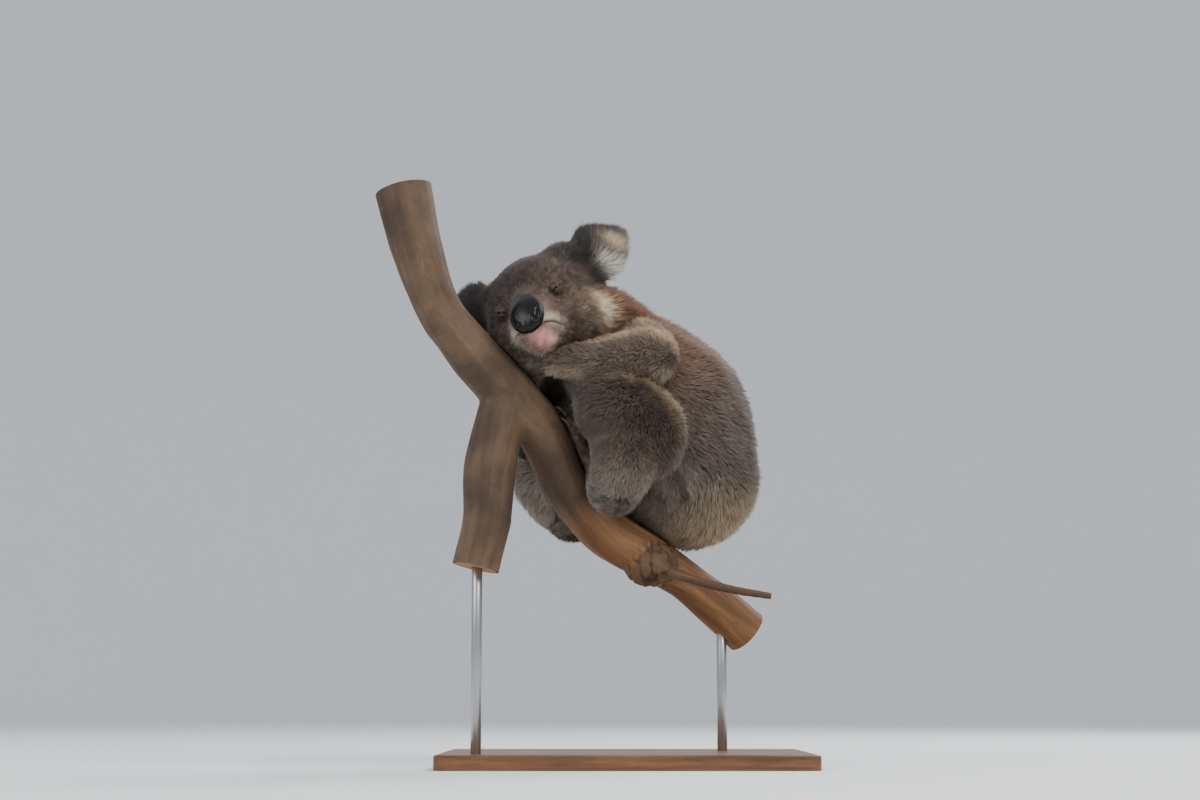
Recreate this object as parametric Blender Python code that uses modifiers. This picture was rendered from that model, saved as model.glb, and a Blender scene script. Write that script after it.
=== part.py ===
"""Life-size koala asleep on a sloping eucalypt branch, held up by a plain display stand.

World: metres, +Z up, the floor at Z = 0 under the middle of the stand base. The animal is laid
out in two frames of its own, each read as (forward, left, up): the body's, from the hips, and
the head's, from the middle of the skull. Its radii reach the tips of the coat.
"""

import math

import bmesh
import bpy
from mathutils import Matrix, Vector

GAP = 0.00035  # clearance between two pieces that touch

# ------------------------------------------------------------------ frames
HIPS = Vector((0.060, 0.030, 0.413))
BODY_YAW = math.radians(33)  # the body heads this far in front of -X
HEAD_MIDDLE = Vector((-0.107, -0.080, 0.596))
HEAD_YAW = math.radians(20)  # the face turns this far from -Y toward -X
HEAD_LIFT = math.radians(12)  # the nose points this far above level
HEAD_TILT = math.radians(22)  # the crown leans this far toward the koala's right


def frame_from(forward, left, origin):
    up = forward.cross(left)
    turn = Matrix((forward, left, up)).transposed().to_4x4()
    return Matrix.Translation(origin) @ turn


def head_frame():
    forward = Vector((-math.sin(HEAD_YAW) * math.cos(HEAD_LIFT),
                      -math.cos(HEAD_YAW) * math.cos(HEAD_LIFT), math.sin(HEAD_LIFT)))
    level_left = Vector((math.cos(HEAD_YAW), -math.sin(HEAD_YAW), 0))
    left = Matrix.Rotation(HEAD_TILT, 3, forward) @ level_left
    return frame_from(forward, left, HEAD_MIDDLE)


BODY = frame_from(Vector((-math.cos(BODY_YAW), -math.sin(BODY_YAW), 0)),
                  Vector((math.sin(BODY_YAW), -math.cos(BODY_YAW), 0)), HIPS)
HEAD = head_frame()
WORLD = Matrix.Identity(4)

# ------------------------------------------------------------------ perch and stand
# The branch falls from beside the head to below the rump: x, y, z, radius.
LIMB_KNOTS = (
    (-0.301, -0.135, 0.775, 0.038),
    (-0.281, -0.140, 0.691, 0.035),
    (-0.251, -0.138, 0.610, 0.031),
    (-0.207, -0.130, 0.552, 0.033),
    (-0.161, -0.115, 0.501, 0.035),
    (-0.114, -0.087, 0.448, 0.034),
    (-0.084, -0.062, 0.385, 0.032),
    (-0.038, -0.035, 0.328, 0.033),
    (0.018, 0.000, 0.293, 0.032),
    (0.074, 0.035, 0.263, 0.029),
    (0.127, 0.062, 0.224, 0.031),
    (0.172, 0.084, 0.186, 0.033),
)
SIDE_LIMB_KNOTS = (
    (-0.161, -0.115, 0.500, 0.032),
    (-0.181, -0.120, 0.402, 0.035),
    (-0.186, -0.125, 0.329, 0.032),
    (-0.200, -0.130, 0.264, 0.031),
)
TWIG_KNOTS = (
    (0.046, -0.014, 0.272, 0.010),
    (0.087, -0.048, 0.254, 0.0072),
    (0.141, -0.062, 0.239, 0.0062),
    (0.196, -0.072, 0.229, 0.0052),
)
KNOT_MIDDLE = (0.034, -0.006, 0.276)
KNOT_RADII = (0.036, 0.033, 0.031)
BASE_SIZE = (0.500, 0.380, 0.020)
BASE_CORNER = 0.012
ROD_RADIUS = 0.007
ROD_FOOT = 0.008  # height of a rod's lower end, inside the base
LEFT_ROD = (-0.198, -0.129, 0.288)  # x, y and top of the rod under the side limb
RIGHT_ROD = (0.136, 0.066, 0.206)

# ------------------------------------------------------------------ limbs, in the body's frame
# Joints as (forward, left, up, radius to the coat's tips). A grip is (station along the limb's
# knots, degrees round it from the side that faces the koala, toward its left); a hand's last
# number is 1 where its thumbs are on the lower side. A foot's is (heel, toes, degrees).
SIDES = {
    "left": {
        "side": 1,
        "shoulder": (0.094, 0.058, 0.146, 0.056),
        "elbow": (0.102, 0.104, 0.137, 0.042),
        "forearm": (0.160, 0.084, 0.131, 0.032),
        "wrist": (0.222, 0.036, 0.130, 0.023),
        "hand": (3.86, 18, 1),
        "hip": (0.000, 0.088, 0.000),
        "knee": (0.141, 0.090, 0.067, 0.064),
        "ankle": (0.136, 0.072, -0.040, 0.040),
        "foot": (6.30, 5.30, 20),
    },
    "right": {
        "side": -1,
        "shoulder": (0.092, -0.058, 0.142, 0.060),
        "elbow": (0.110, -0.112, 0.090, 0.046),
        "forearm": (0.152, -0.100, 0.098, 0.037),
        "wrist": (0.197, -0.072, 0.090, 0.026),
        "hand": (4.95, -58, -1),
        "hip": (-0.004, -0.088, -0.012),
        "knee": (0.124, -0.100, -0.012, 0.063),
        "ankle": (0.108, -0.084, -0.062, 0.042),
        "foot": (7.15, 6.08, -66),
    },
}

COLOURS = {
    "fur": (0.13, 0.10, 0.085, 1),
    "pale_fur": (0.42, 0.37, 0.32, 1),
    "nose": (0.012, 0.012, 0.014, 1),
    "eye": (0.05, 0.02, 0.008, 1),
    "claw": (0.03, 0.026, 0.022, 1),
    "bark": (0.16, 0.11, 0.075, 1),
    "wood": (0.20, 0.11, 0.055, 1),
    "steel": (0.45, 0.45, 0.46, 1),
}


# ------------------------------------------------------------------ modelling helpers
def clear_scene():
    for old in list(bpy.data.objects):
        bpy.data.objects.remove(old)


def collection(name, hidden=False):
    made = bpy.data.collections.new(name)
    bpy.context.scene.collection.children.link(made)
    made.hide_render = hidden
    return made


def material(name):
    made = bpy.data.materials.new(name)
    made.use_nodes = True
    made.node_tree.nodes["Principled BSDF"].inputs["Base Color"].default_value = COLOURS[name]
    return made


def helper(name, mesh):
    made = bpy.data.objects.new(name, mesh)
    made.hide_render = True
    made.display_type = "WIRE"
    HELPERS.objects.link(made)
    return made


def from_bmesh(name, bm):
    mesh = bpy.data.meshes.new(name)
    bm.to_mesh(mesh)
    bm.free()
    return helper(name, mesh)


def settled(obj):
    """The object with its modifiers turned into plain mesh."""
    graph = bpy.context.evaluated_depsgraph_get()
    mesh = bpy.data.meshes.new_from_object(obj.evaluated_get(graph))
    name = obj.name
    bpy.data.objects.remove(obj)
    return helper(name, mesh)


def lump(frame, centre, radii, pitch=0.0, yaw=0.0, roll=0.0):
    """An ellipsoid. Its radii run forward, left and up; pitch lifts its front, in degrees."""
    bm = bmesh.new()
    bmesh.ops.create_icosphere(bm, subdivisions=3, radius=1.0)
    turn = (Matrix.Rotation(math.radians(yaw), 4, "Z")
            @ Matrix.Rotation(math.radians(-pitch), 4, "Y")
            @ Matrix.Rotation(math.radians(roll), 4, "X"))
    bm.transform(frame @ Matrix.Translation(centre) @ turn @ Matrix.Diagonal((*radii, 1)))
    return bm


def span(frame, start, end):
    """A tapered capsule between two joints (x, y, z, radius)."""
    bm = bmesh.new()
    for joint in (start, end):
        bmesh.ops.create_icosphere(bm, subdivisions=2, radius=joint[3],
                                   matrix=Matrix.Translation(joint[:3]))
    hull = bmesh.ops.convex_hull(bm, input=bm.verts)
    inner = {item for item in hull["geom_interior"] + hull["geom_unused"]
             if isinstance(item, bmesh.types.BMVert)}
    bmesh.ops.delete(bm, geom=list(inner), context="VERTS")
    bmesh.ops.recalc_face_normals(bm, faces=bm.faces)
    bm.transform(frame)
    return bm


def chain(frame, joints):
    return [span(frame, a, b) for a, b in zip(joints, joints[1:])]


def blended(name, pieces, voxel, triangles, smooth=3):
    """The pieces melted into one closed surface of about so many triangles."""
    whole = bmesh.new()
    for piece in pieces:
        mesh = bpy.data.meshes.new("piece")
        piece.to_mesh(mesh)
        piece.free()
        whole.from_mesh(mesh)
        bpy.data.meshes.remove(mesh)
    made = from_bmesh(name, whole)
    melt = made.modifiers.new("melt", "REMESH")
    melt.mode = "VOXEL"
    melt.voxel_size = voxel
    melt.adaptivity = 0.0
    soft = made.modifiers.new("soften", "SMOOTH")
    soft.factor = 0.5
    soft.iterations = smooth
    made = settled(made)
    count = sum(len(face.vertices) - 2 for face in made.data.polygons)
    thin = made.modifiers.new("thin", "DECIMATE")
    thin.ratio = min(1.0, triangles / count)
    return settled(made)


def grown(obj, by=GAP):
    """A copy swollen along its normals: the clearance a neighbour is cut back by."""
    bm = bmesh.new()
    bm.from_mesh(obj.data)
    bm.normal_update()
    for vert in bm.verts:
        vert.co += vert.normal * by * vert.calc_shell_factor()
    return from_bmesh(obj.name + "_clearance", bm)


def combined(obj, other, operation):
    step = obj.modifiers.new(operation.lower(), "BOOLEAN")
    step.operation = operation
    step.solver = "EXACT"
    step.object = other
    return settled(obj)


def near(obj, other):
    """Whether the bounding boxes of two world-space meshes overlap."""
    for axis in range(3):
        a = [vert.co[axis] for vert in obj.data.vertices]
        b = [vert.co[axis] for vert in other.data.vertices]
        if max(a) < min(b) or max(b) < min(a):
            return False
    return True


def largest_island(obj):
    """Drops every loose crumb that a cut has left, keeping the main solid."""
    bm = bmesh.new()
    bm.from_mesh(obj.data)
    bmesh.ops.triangulate(bm, faces=bm.faces)
    bmesh.ops.dissolve_degenerate(bm, edges=bm.edges, dist=0.00002)
    bm.verts.ensure_lookup_table()
    seen, islands = set(), []
    for start in bm.verts:
        if start in seen:
            continue
        seen.add(start)
        island, queue = [], [start]
        while queue:
            vert = queue.pop()
            island.append(vert)
            for edge in vert.link_edges:
                other = edge.other_vert(vert)
                if other not in seen:
                    seen.add(other)
                    queue.append(other)
        islands.append(island)
    islands.sort(key=len, reverse=True)
    for island in islands[1:]:
        bmesh.ops.delete(bm, geom=island, context="VERTS")
    bm.to_mesh(obj.data)
    bm.free()
    return obj


def smooth_line(knots, steps):
    """Catmull-Rom points through the knots, steps to each span. Radii are eased the same way."""
    ends = [Vector(k) for k in knots]
    ends = [2 * ends[0] - ends[1], *ends, 2 * ends[-1] - ends[-2]]
    line = []
    for i in range(1, len(ends) - 2):
        a, b, c, d = ends[i - 1:i + 3]
        for step in range(steps):
            t = step / steps
            line.append(0.5 * (2 * b + (c - a) * t + (2 * a - 5 * b + 4 * c - d) * t ** 2
                               + (3 * b - a - 3 * c + d) * t ** 3))
    line.append(ends[-2])
    return line


def tube(name, line, resolution):
    """A round rod with flat ends along a line of (x, y, z, radius)."""
    curve = bpy.data.curves.new(name, "CURVE")
    curve.dimensions = "3D"
    curve.bevel_depth = 1.0
    curve.bevel_resolution = resolution
    curve.use_fill_caps = True
    spline = curve.splines.new("POLY")
    spline.points.add(len(line) - 1)
    for point, (x, y, z, radius) in zip(spline.points, line):
        point.co = (x, y, z, 1)
        point.radius = radius
    made = helper(name + "_curve", curve)
    graph = bpy.context.evaluated_depsgraph_get()
    mesh = bpy.data.meshes.new_from_object(made.evaluated_get(graph))
    bpy.data.objects.remove(made)
    bm = bmesh.new()
    bm.from_mesh(mesh)
    bmesh.ops.remove_doubles(bm, verts=bm.verts, dist=0.00001)
    bmesh.ops.recalc_face_normals(bm, faces=bm.faces)
    return from_bmesh(name, bm)


def rod(name, x, y, bottom, top, radius, sides=24):
    bm = bmesh.new()
    bmesh.ops.create_cone(bm, cap_ends=True, segments=sides, radius1=radius, radius2=radius,
                          depth=top - bottom,
                          matrix=Matrix.Translation((x, y, (top + bottom) / 2)))
    return from_bmesh(name, bm)


SHELLS = {}  # clearance shell of every finished node, in the order they were made


def finish(name, obj, look, smooth=True, pass_by=()):
    """Cuts the solid back from all the nodes made before it, then makes it a node."""
    clearance = grown(obj)
    for other, shell in SHELLS.items():
        if other not in pass_by and obj.data.vertices and near(obj, shell):
            obj = combined(obj, shell, "DIFFERENCE")
    obj = largest_island(obj)
    obj.name = name
    obj.hide_render = False
    obj.display_type = "TEXTURED"
    HELPERS.objects.unlink(obj)
    PARTS.objects.link(obj)
    obj.data.materials.clear()
    obj.data.materials.append(LOOKS[look])
    for face in obj.data.polygons:
        face.use_smooth = smooth
    SHELLS[name] = clearance
    return obj


# ------------------------------------------------------------------ the branch as a handhold
def on_limb(station):
    """Point, radius and the directions facing the koala and to its left, along the branch."""
    line = LIMB_LINE
    place = min(max(station * LIMB_STEPS, 0), len(line) - 1.001)
    i = int(place)
    here = line[i].lerp(line[i + 1], place - i)
    along = (line[i + 1].xyz - line[i].xyz).normalized()
    facing = -(BODY.to_3x3() @ Vector((1, 0, 0)))
    facing = (facing - along * facing.dot(along)).normalized()
    left = along.cross(facing)
    if left.dot(BODY.to_3x3() @ Vector((0, 1, 0))) < 0:
        left.negate()
    return here.xyz, here.w, facing, left


def grip(station, degrees, out, radius):
    """A joint resting on the branch, its middle this far out from the bark."""
    middle, thick, facing, left = on_limb(station)
    turn = math.radians(degrees)
    spot = middle + (facing * math.cos(turn) + left * math.sin(turn)) * (thick + out)
    return (*spot, radius)


def in_world(frame, joint):
    return (*(frame @ Vector(joint[:3])), joint[3])


# ------------------------------------------------------------------ build
clear_scene()
PARTS = collection("koala_on_branch")
HELPERS = collection("helpers", hidden=True)
LOOKS = {name: material(name) for name in COLOURS}
LIMB_STEPS = 2
LIMB_LINE = smooth_line(LIMB_KNOTS, LIMB_STEPS)

# The stand: a bevelled board with two steel rods let into it and into the perch.
bm = bmesh.new()
bmesh.ops.create_cube(bm, size=1.0)
bmesh.ops.scale(bm, vec=BASE_SIZE, verts=bm.verts)
bmesh.ops.translate(bm, vec=(0, 0, BASE_SIZE[2] / 2), verts=bm.verts)
upright = [e for e in bm.edges if abs(e.verts[0].co.z - e.verts[1].co.z) > 0.01]
bmesh.ops.bevel(bm, geom=upright, offset=BASE_CORNER, segments=3, affect="EDGES",
                profile=0.5)
rim = [e for e in bm.edges if min(v.co.z for v in e.verts) > BASE_SIZE[2] - 1e-5
       and len(e.link_faces) == 2 and e.calc_face_angle() > 0.5]
bmesh.ops.bevel(bm, geom=rim, offset=0.003, segments=1, affect="EDGES", profile=0.5)
base = from_bmesh("base", bm)

for name, (x, y, top) in (("stand_rod_left", LEFT_ROD), ("stand_rod_right", RIGHT_ROD)):
    finish(name, rod(name, x, y, ROD_FOOT, top, ROD_RADIUS), "steel")
finish("stand_base", base, "wood", smooth=False)

# The perch: the limb with its knot, the side limb below the fork, and a snapped twig.
limb = tube("limb", LIMB_LINE, 4)
knot = from_bmesh("knot", lump(WORLD, KNOT_MIDDLE, KNOT_RADII))
thin = knot.modifiers.new("thin", "DECIMATE")
thin.ratio = 0.16
knot = settled(knot)
limb = combined(limb, knot, "UNION")
finish("perch_limb", limb, "bark")
finish("perch_side_limb", tube("side_limb", smooth_line(SIDE_LIMB_KNOTS, 2), 4), "bark")
finish("perch_twig", tube("twig", smooth_line(TWIG_KNOTS, 2), 2), "bark")

# Hands wrapped round the branch, with their claws. The cheek rests against them.
for name, limbs in SIDES.items():
    station, turn, thumbs = limbs["hand"]
    wrist = in_world(BODY, limbs["wrist"])
    heel = grip(station, turn, 0.016, 0.021)
    palm = grip(station, turn - 26, 0.013, 0.020)
    pieces = chain(WORLD, [wrist, heel, palm])
    tips = []
    for k, (shift, start, reach) in enumerate(
            ((-0.34, 26, 66), (-0.06, 30, 76), (0.20, 30, 70), (0.40, 16, 46), (0.50, 2, 22))):
        shift *= thumbs
        root = grip(station + shift * 0.55, turn - start, 0.010, 0.0125)
        tip = grip(station + shift, turn - reach, 0.0075, 0.0085)
        pieces += chain(WORLD, [root, tip])
        point = grip(station + shift * 1.08, turn - reach - 27, 0.0022, 0.0011)
        mid = grip(station + shift * 1.04, turn - reach - 15, 0.0068, 0.0024)
        tips.append(smooth_line([(*tip[:3], 0.0030), mid, point], 2))
    finish("hand_" + name, blended("hand", pieces, 0.0032, 230, smooth=2), "fur")
    for k, line in enumerate(tips, 1):
        finish(f"claw_hand_{name}_{k}", tube("claw", line, 1), "claw")

# The head: nose pad and eyes first, so that the head is hollowed to take them.
nose = [lump(HEAD, (0.0925, 0, -0.018), (0.013, 0.0235, 0.0305), pitch=14)]
finish("nose", blended("nose", nose, 0.002, 110), "nose")
for name, side in (("left", 1), ("right", -1)):
    ball = from_bmesh("ball", lump(HEAD, (0.0545, side * 0.0405, 0.019), (0.0085,) * 3))
    ball.modifiers.new("thin", "DECIMATE").ratio = 0.25
    finish("eye_" + name, settled(ball), "eye")

head = [
    lump(HEAD, (-0.006, 0, 0.030), (0.078, 0.080, 0.079)),  # braincase and crown
    lump(HEAD, (0.020, 0, 0.040), (0.050, 0.066, 0.055)),  # forehead and brows
    lump(HEAD, (-0.008, 0.048, 0.078), (0.044, 0.038, 0.038)),  # roots of the ears
    lump(HEAD, (-0.008, -0.046, 0.068), (0.044, 0.036, 0.032)),
    lump(HEAD, (0.006, 0.044, -0.012), (0.052, 0.047, 0.050)),  # cheeks
    lump(HEAD, (0.006, -0.044, -0.012), (0.052, 0.047, 0.050)),
    lump(HEAD, (0.054, 0, -0.022), (0.042, 0.040, 0.034)),  # muzzle
    lump(HEAD, (0.064, 0, 0.004), (0.028, 0.026, 0.034), pitch=30),  # bridge of the nose
    lump(HEAD, (0.073, 0, -0.034), (0.026, 0.030, 0.024)),  # front of the muzzle, under the nose
    lump(HEAD, (0.056, 0, -0.044), (0.034, 0.026, 0.020)),  # lower jaw and chin
    lump(HEAD, (0.010, 0, -0.034), (0.050, 0.056, 0.034)),  # throat
]
finish("head", blended("head", head, 0.005, 520), "fur")
for name, side, lift in (("left", 1, 0.013), ("right", -1, 0.003)):
    ear = [
        lump(HEAD, (-0.018, side * 0.088, 0.074 + lift), (0.020, 0.041, 0.045),
             roll=-side * 38),
        lump(HEAD, (-0.012, side * 0.110, 0.068 + lift), (0.020, 0.033, 0.038),
             roll=-side * 55),
        lump(HEAD, (-0.016, side * 0.070, 0.062 + lift), (0.024, 0.030, 0.030)),
    ]
    finish("ear_" + name, blended("ear", ear, 0.004, 160), "pale_fur")

# Feet with their soles along the branch, toes curled over it.
for name, limbs in SIDES.items():
    side = limbs["side"]
    heel_station, toe_station, turn = limbs["foot"]
    ankle = in_world(BODY, limbs["ankle"])
    heel = grip(heel_station, turn, 0.022, 0.028)
    arch = grip((heel_station + toe_station) / 2, turn - side * 3, 0.016, 0.025)
    ball = grip(toe_station + 0.25, turn - side * 6, 0.014, 0.021)
    pieces = chain(WORLD, [ankle, heel, arch, ball])
    tips = []
    for k, (turn_by, reach, out) in enumerate(
            ((18, 0.40, 12), (6, 0.50, 2), (-8, 0.50, -6), (-20, 0.38, -8))):
        root = grip(toe_station + 0.22, turn + side * (turn_by - 6), 0.011, 0.0130)
        tip = grip(toe_station + 0.22 - reach, turn + side * (turn_by + out - 6), 0.0080,
                   0.0095)
        pieces += chain(WORLD, [root, tip])
        mid = grip(toe_station + 0.22 - reach * 1.28,
                   turn + side * (turn_by + out * 1.35 - 6), 0.0072, 0.0026)
        point = grip(toe_station + 0.22 - reach * 1.48,
                     turn + side * (turn_by + out * 1.62 - 6), 0.0024, 0.0012)
        tips.append(smooth_line([(*tip[:3], 0.0032), mid, point], 2))
    pieces += chain(WORLD, [grip(heel_station - 0.55, turn - side * 30, 0.012, 0.014),
                            grip(heel_station - 0.78, turn - side * 48, 0.010, 0.0115)])
    finish("foot_" + name, blended("foot", pieces, 0.0035, 230, smooth=2), "fur")
    for k, line in enumerate(tips, 1):
        finish(f"claw_foot_{name}_{k}", tube("claw", line, 1), "claw")

# Arms and legs, from the paws inward.
for name, limbs in SIDES.items():
    arm = chain(BODY, [limbs["elbow"], limbs["forearm"], limbs["wrist"]])
    finish("forearm_" + name, blended("forearm", arm, 0.005, 140), "fur")
    arm = chain(BODY, [limbs["shoulder"], limbs["elbow"]])
    finish("upper_arm_" + name, blended("upper_arm", arm, 0.006, 110), "fur")

for name, limbs in SIDES.items():
    knee = Vector(limbs["knee"][:3])
    hip = Vector(limbs["hip"])
    ankle = Vector(limbs["ankle"][:3])
    out = Vector((0, limbs["side"], 0))
    thigh = chain(BODY, [(*hip.lerp(knee, 0.62), 0.050), limbs["knee"]])
    thigh += [lump(BODY, knee.lerp(hip, 0.30) - Vector((0, 0, 0.018)),
                   (0.061, 0.047, 0.066), pitch=34),
              lump(BODY, hip - 0.036 * out - Vector((0, 0, 0.012)), (0.066, 0.044, 0.062))]
    finish("thigh_" + name, blended("thigh", thigh, 0.006, 170), "fur")
    calf = knee.lerp(ankle, 0.60) + 0.012 * out - Vector((0.008, 0, 0))
    shin = chain(BODY, [(*(knee - Vector((0, 0, 0.026))), 0.046), (*calf, 0.048),
                        limbs["ankle"]])
    finish("shank_" + name, blended("shank", shin, 0.005, 140), "fur")

neck = chain(BODY, [(0.088, 0, 0.160, 0.078), (0.135, 0.002, 0.186, 0.074),
                    (0.172, 0.002, 0.198, 0.060)])
finish("neck", blended("neck", neck, 0.006, 80), "fur")

trunk = chain(BODY, [(-0.026, 0, -0.004, 0.111), (-0.021, 0, 0.045, 0.111),
                     (-0.002, 0, 0.085, 0.110), (0.045, 0, 0.122, 0.096),
                     (0.086, 0, 0.146, 0.082)])
trunk += [lump(BODY, (-0.033, 0, -0.014), (0.098, 0.112, 0.100)),  # rump
          lump(BODY, (0.050, 0, 0.050), (0.090, 0.086, 0.090))]  # belly
finish("trunk", blended("trunk", trunk, 0.007, 320), "fur")
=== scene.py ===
"""Looks of a life-size museum koala asleep on a cut branch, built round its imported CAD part.

World: metres, +Z up, floor at Z = 0. The head's own frame reads (forward, left, up) from the
middle of the skull, the body's the same from the hips, as in the CAD.
"""

import math

import bmesh
import bpy
import numpy as np
from mathutils import Matrix, Vector
from mathutils.bvhtree import BVHTree
from mathutils.kdtree import KDTree


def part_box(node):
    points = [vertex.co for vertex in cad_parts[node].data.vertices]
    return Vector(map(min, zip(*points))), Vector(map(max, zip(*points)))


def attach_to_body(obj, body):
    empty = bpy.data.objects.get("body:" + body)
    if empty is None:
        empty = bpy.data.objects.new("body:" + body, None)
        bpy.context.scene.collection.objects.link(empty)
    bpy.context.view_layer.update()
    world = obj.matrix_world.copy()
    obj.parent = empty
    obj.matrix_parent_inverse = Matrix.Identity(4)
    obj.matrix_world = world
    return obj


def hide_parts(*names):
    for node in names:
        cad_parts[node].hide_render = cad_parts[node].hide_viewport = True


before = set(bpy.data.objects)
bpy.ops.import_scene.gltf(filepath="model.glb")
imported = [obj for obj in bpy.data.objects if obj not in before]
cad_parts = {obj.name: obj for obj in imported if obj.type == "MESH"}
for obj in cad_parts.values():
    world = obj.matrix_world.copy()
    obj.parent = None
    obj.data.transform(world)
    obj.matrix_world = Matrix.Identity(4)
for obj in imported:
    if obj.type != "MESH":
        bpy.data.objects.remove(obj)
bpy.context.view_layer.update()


# ------------------------------------------------------------------ floor, light and camera
# A studio sweep: a pale floor that curves up into a wall all round, under soft lamps. The
# camera stands low and looks 8 degrees up, as one does at an animal on a branch.
class Value:
    """A socket of a material under construction: + and * on it add Math nodes."""

    def __init__(self, look, socket):
        self.look, self.socket = look, socket

    def __add__(self, other):
        return self.look.node("Math", dict(operation="ADD"), {0: self, 1: other})

    def __mul__(self, other):
        return self.look.node("Math", dict(operation="MULTIPLY"), {0: self, 1: other})

    __radd__, __rmul__ = __add__, __mul__


class Look:
    """A material with one Principled shader, and short ways to add nodes before it."""

    def __init__(self, name, **constants):
        self.material = bpy.data.materials.new(name)
        self.material.use_nodes = True
        self.tree = self.material.node_tree
        self.shader = self.tree.nodes["Principled BSDF"]
        for key, value in constants.items():
            self.shader.inputs[key.replace("_", " ").title()
                               .replace("Ior", "IOR")].default_value = value

    def node(self, kind, settings=None, inputs=None, out=0):
        made = self.tree.nodes.new("ShaderNode" + kind)
        for key, value in (settings or {}).items():
            if key == "stops":
                ramp = made.color_ramp
                while len(ramp.elements) < len(value):
                    ramp.elements.new(0.5)
                for element, (place, colour) in zip(ramp.elements, value):
                    element.position, element.color = place, (*colour, 1)
            else:
                setattr(made, key, value)
        for key, value in (inputs or {}).items():
            if isinstance(value, Value):
                self.tree.links.new(value.socket, made.inputs[key])
            elif isinstance(value, tuple) and len(value) == 3 and made.inputs[key].type == "RGBA":
                made.inputs[key].default_value = (*value, 1)
            else:
                made.inputs[key].default_value = value
        return Value(self, made.outputs[out])

    def attribute(self, name, out="Fac"):
        return self.node("Attribute", dict(attribute_name=name), out=out)

    def place(self):
        return self.node("TexCoord", out="Object")

    def noise(self, vector, scale, detail=3.0, rough=0.5, out=0):
        return self.node("TexNoise", None,
                         dict(Vector=vector, Scale=scale, Detail=detail, Roughness=rough), out)

    def ramp(self, value, *stops):
        return self.node("ValToRGB", dict(stops=stops), {0: value})

    def mix(self, factor, a, b):
        return self.node("Mix", dict(data_type="RGBA"), {0: factor, 6: a, 7: b}, out=2)

    def bump(self, height, strength, distance):
        return self.node("Bump", None, dict(Height=height, Strength=strength,
                                            Distance=distance))

    def set(self, **sockets):
        for key, value in sockets.items():
            target = self.shader.inputs[key.replace("_", " ").title()]
            self.tree.links.new(value.socket, target)
        return self.material


def ring_quads(rings, sides):
    """Quads between closed rings of points that follow one another in one array."""
    i, j = np.meshgrid(np.arange(rings - 1) * sides, np.arange(sides), indexing="ij")
    after = (j + 1) % sides
    return np.stack([i + j, i + sides + j, i + sides + after, i + after], -1).reshape(-1, 4)


def lathe(profile, sides, x=0.0, y=0.0):
    """Points of a turned shape on an upright axis: a ring for each (radius, height)."""
    turn = np.linspace(0, 2 * math.pi, sides, endpoint=False)
    rings = [[x + r * np.cos(turn), y + r * np.sin(turn), np.full(sides, z)] for r, z in profile]
    return np.array(rings).transpose(0, 2, 1).reshape(-1, 3)


def add_mesh(name, points, faces, look, smooth=True):
    """One mesh object from arrays of points and of faces with as many corners each."""
    mesh = bpy.data.meshes.new(name)
    faces = np.asarray(faces, np.int32)
    mesh.vertices.add(len(points))
    mesh.vertices.foreach_set("co", np.asarray(points, np.float32).ravel())
    mesh.loops.add(faces.size)
    mesh.loops.foreach_set("vertex_index", faces.ravel())
    mesh.polygons.add(len(faces))
    mesh.polygons.foreach_set("loop_start", np.arange(len(faces), dtype=np.int32)
                              * faces.shape[1])
    mesh.polygons.foreach_set("use_smooth", np.full(len(faces), smooth))
    mesh.update(calc_edges=True)
    mesh.validate()
    made = bpy.data.objects.new(name, mesh)
    bpy.context.scene.collection.objects.link(made)
    if look:
        mesh.materials.append(look)
    return made


rim = [(r, 0.0) for r in (0.001, 2.0, 4.0, 6.5)]
rim += [(6.5 + 3 * math.sin(a), 3 - 3 * math.cos(a)) for a in np.linspace(0.1, 1.5, 12)]
rim.append((9.5, 7.0))
floor = add_mesh("studio_floor", lathe(rim, 96), ring_quads(len(rim), 96),
                 Look("floor", base_color=(0.78, 0.79, 0.80, 1), roughness=0.85).material)

world = bpy.data.worlds.new("studio")
bpy.context.scene.world = world
world.use_nodes = True
world.node_tree.nodes["Background"].inputs[0].default_value = (0.90, 0.95, 1.0, 1)
world.node_tree.nodes["Background"].inputs[1].default_value = 0.85

AIM = Vector((-0.10, -0.05, 0.48))
for name, place, size, power, tint in (
        ("key", (1.5, -2.3, 3.0), 1.9, 105, (1.0, 0.97, 0.93)),
        ("rim", (1.7, 2.0, 2.6), 1.6, 90, (0.97, 0.98, 1.0)),
        ("fill", (-2.3, -1.7, 2.1), 1.6, 38, (0.93, 0.97, 1.0))):
    lamp = bpy.data.lights.new(name, "AREA")
    lamp.size, lamp.energy, lamp.color = size, power, tint
    held = bpy.data.objects.new(name, lamp)
    held.location = place
    held.rotation_euler = (AIM - Vector(place)).to_track_quat("-Z", "Y").to_euler()
    bpy.context.scene.collection.objects.link(held)

camera = bpy.data.objects.new("camera", bpy.data.cameras.new("camera"))
camera.data.lens = 64.3
camera.data.sensor_width = 36
camera.data.clip_end = 60
camera.location = (-0.0352, -2.9727, 0.0886)
camera.rotation_euler = (math.radians(98), 0, 0)
bpy.context.scene.collection.objects.link(camera)
bpy.context.scene.camera = camera


# ------------------------------------------------------------------ display stand
# A satin hardwood board with two brushed steel rods let into it and up into the perch. All of
# it is an addition for the model and takes the place of the CAD's three stand solids.
def linear(r, g, b):
    """Linear colour of a display colour given as 0 to 255."""
    return tuple(((c / 255 + 0.055) / 1.055) ** 2.4 if c > 10 else c / 3294.6
                 for c in (r, g, b))


def put(obj, slot, *nodes):
    """The finished piece rides on the root and stands for these CAD nodes."""
    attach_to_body(obj, "root")
    if nodes:
        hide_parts(*nodes)


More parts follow.
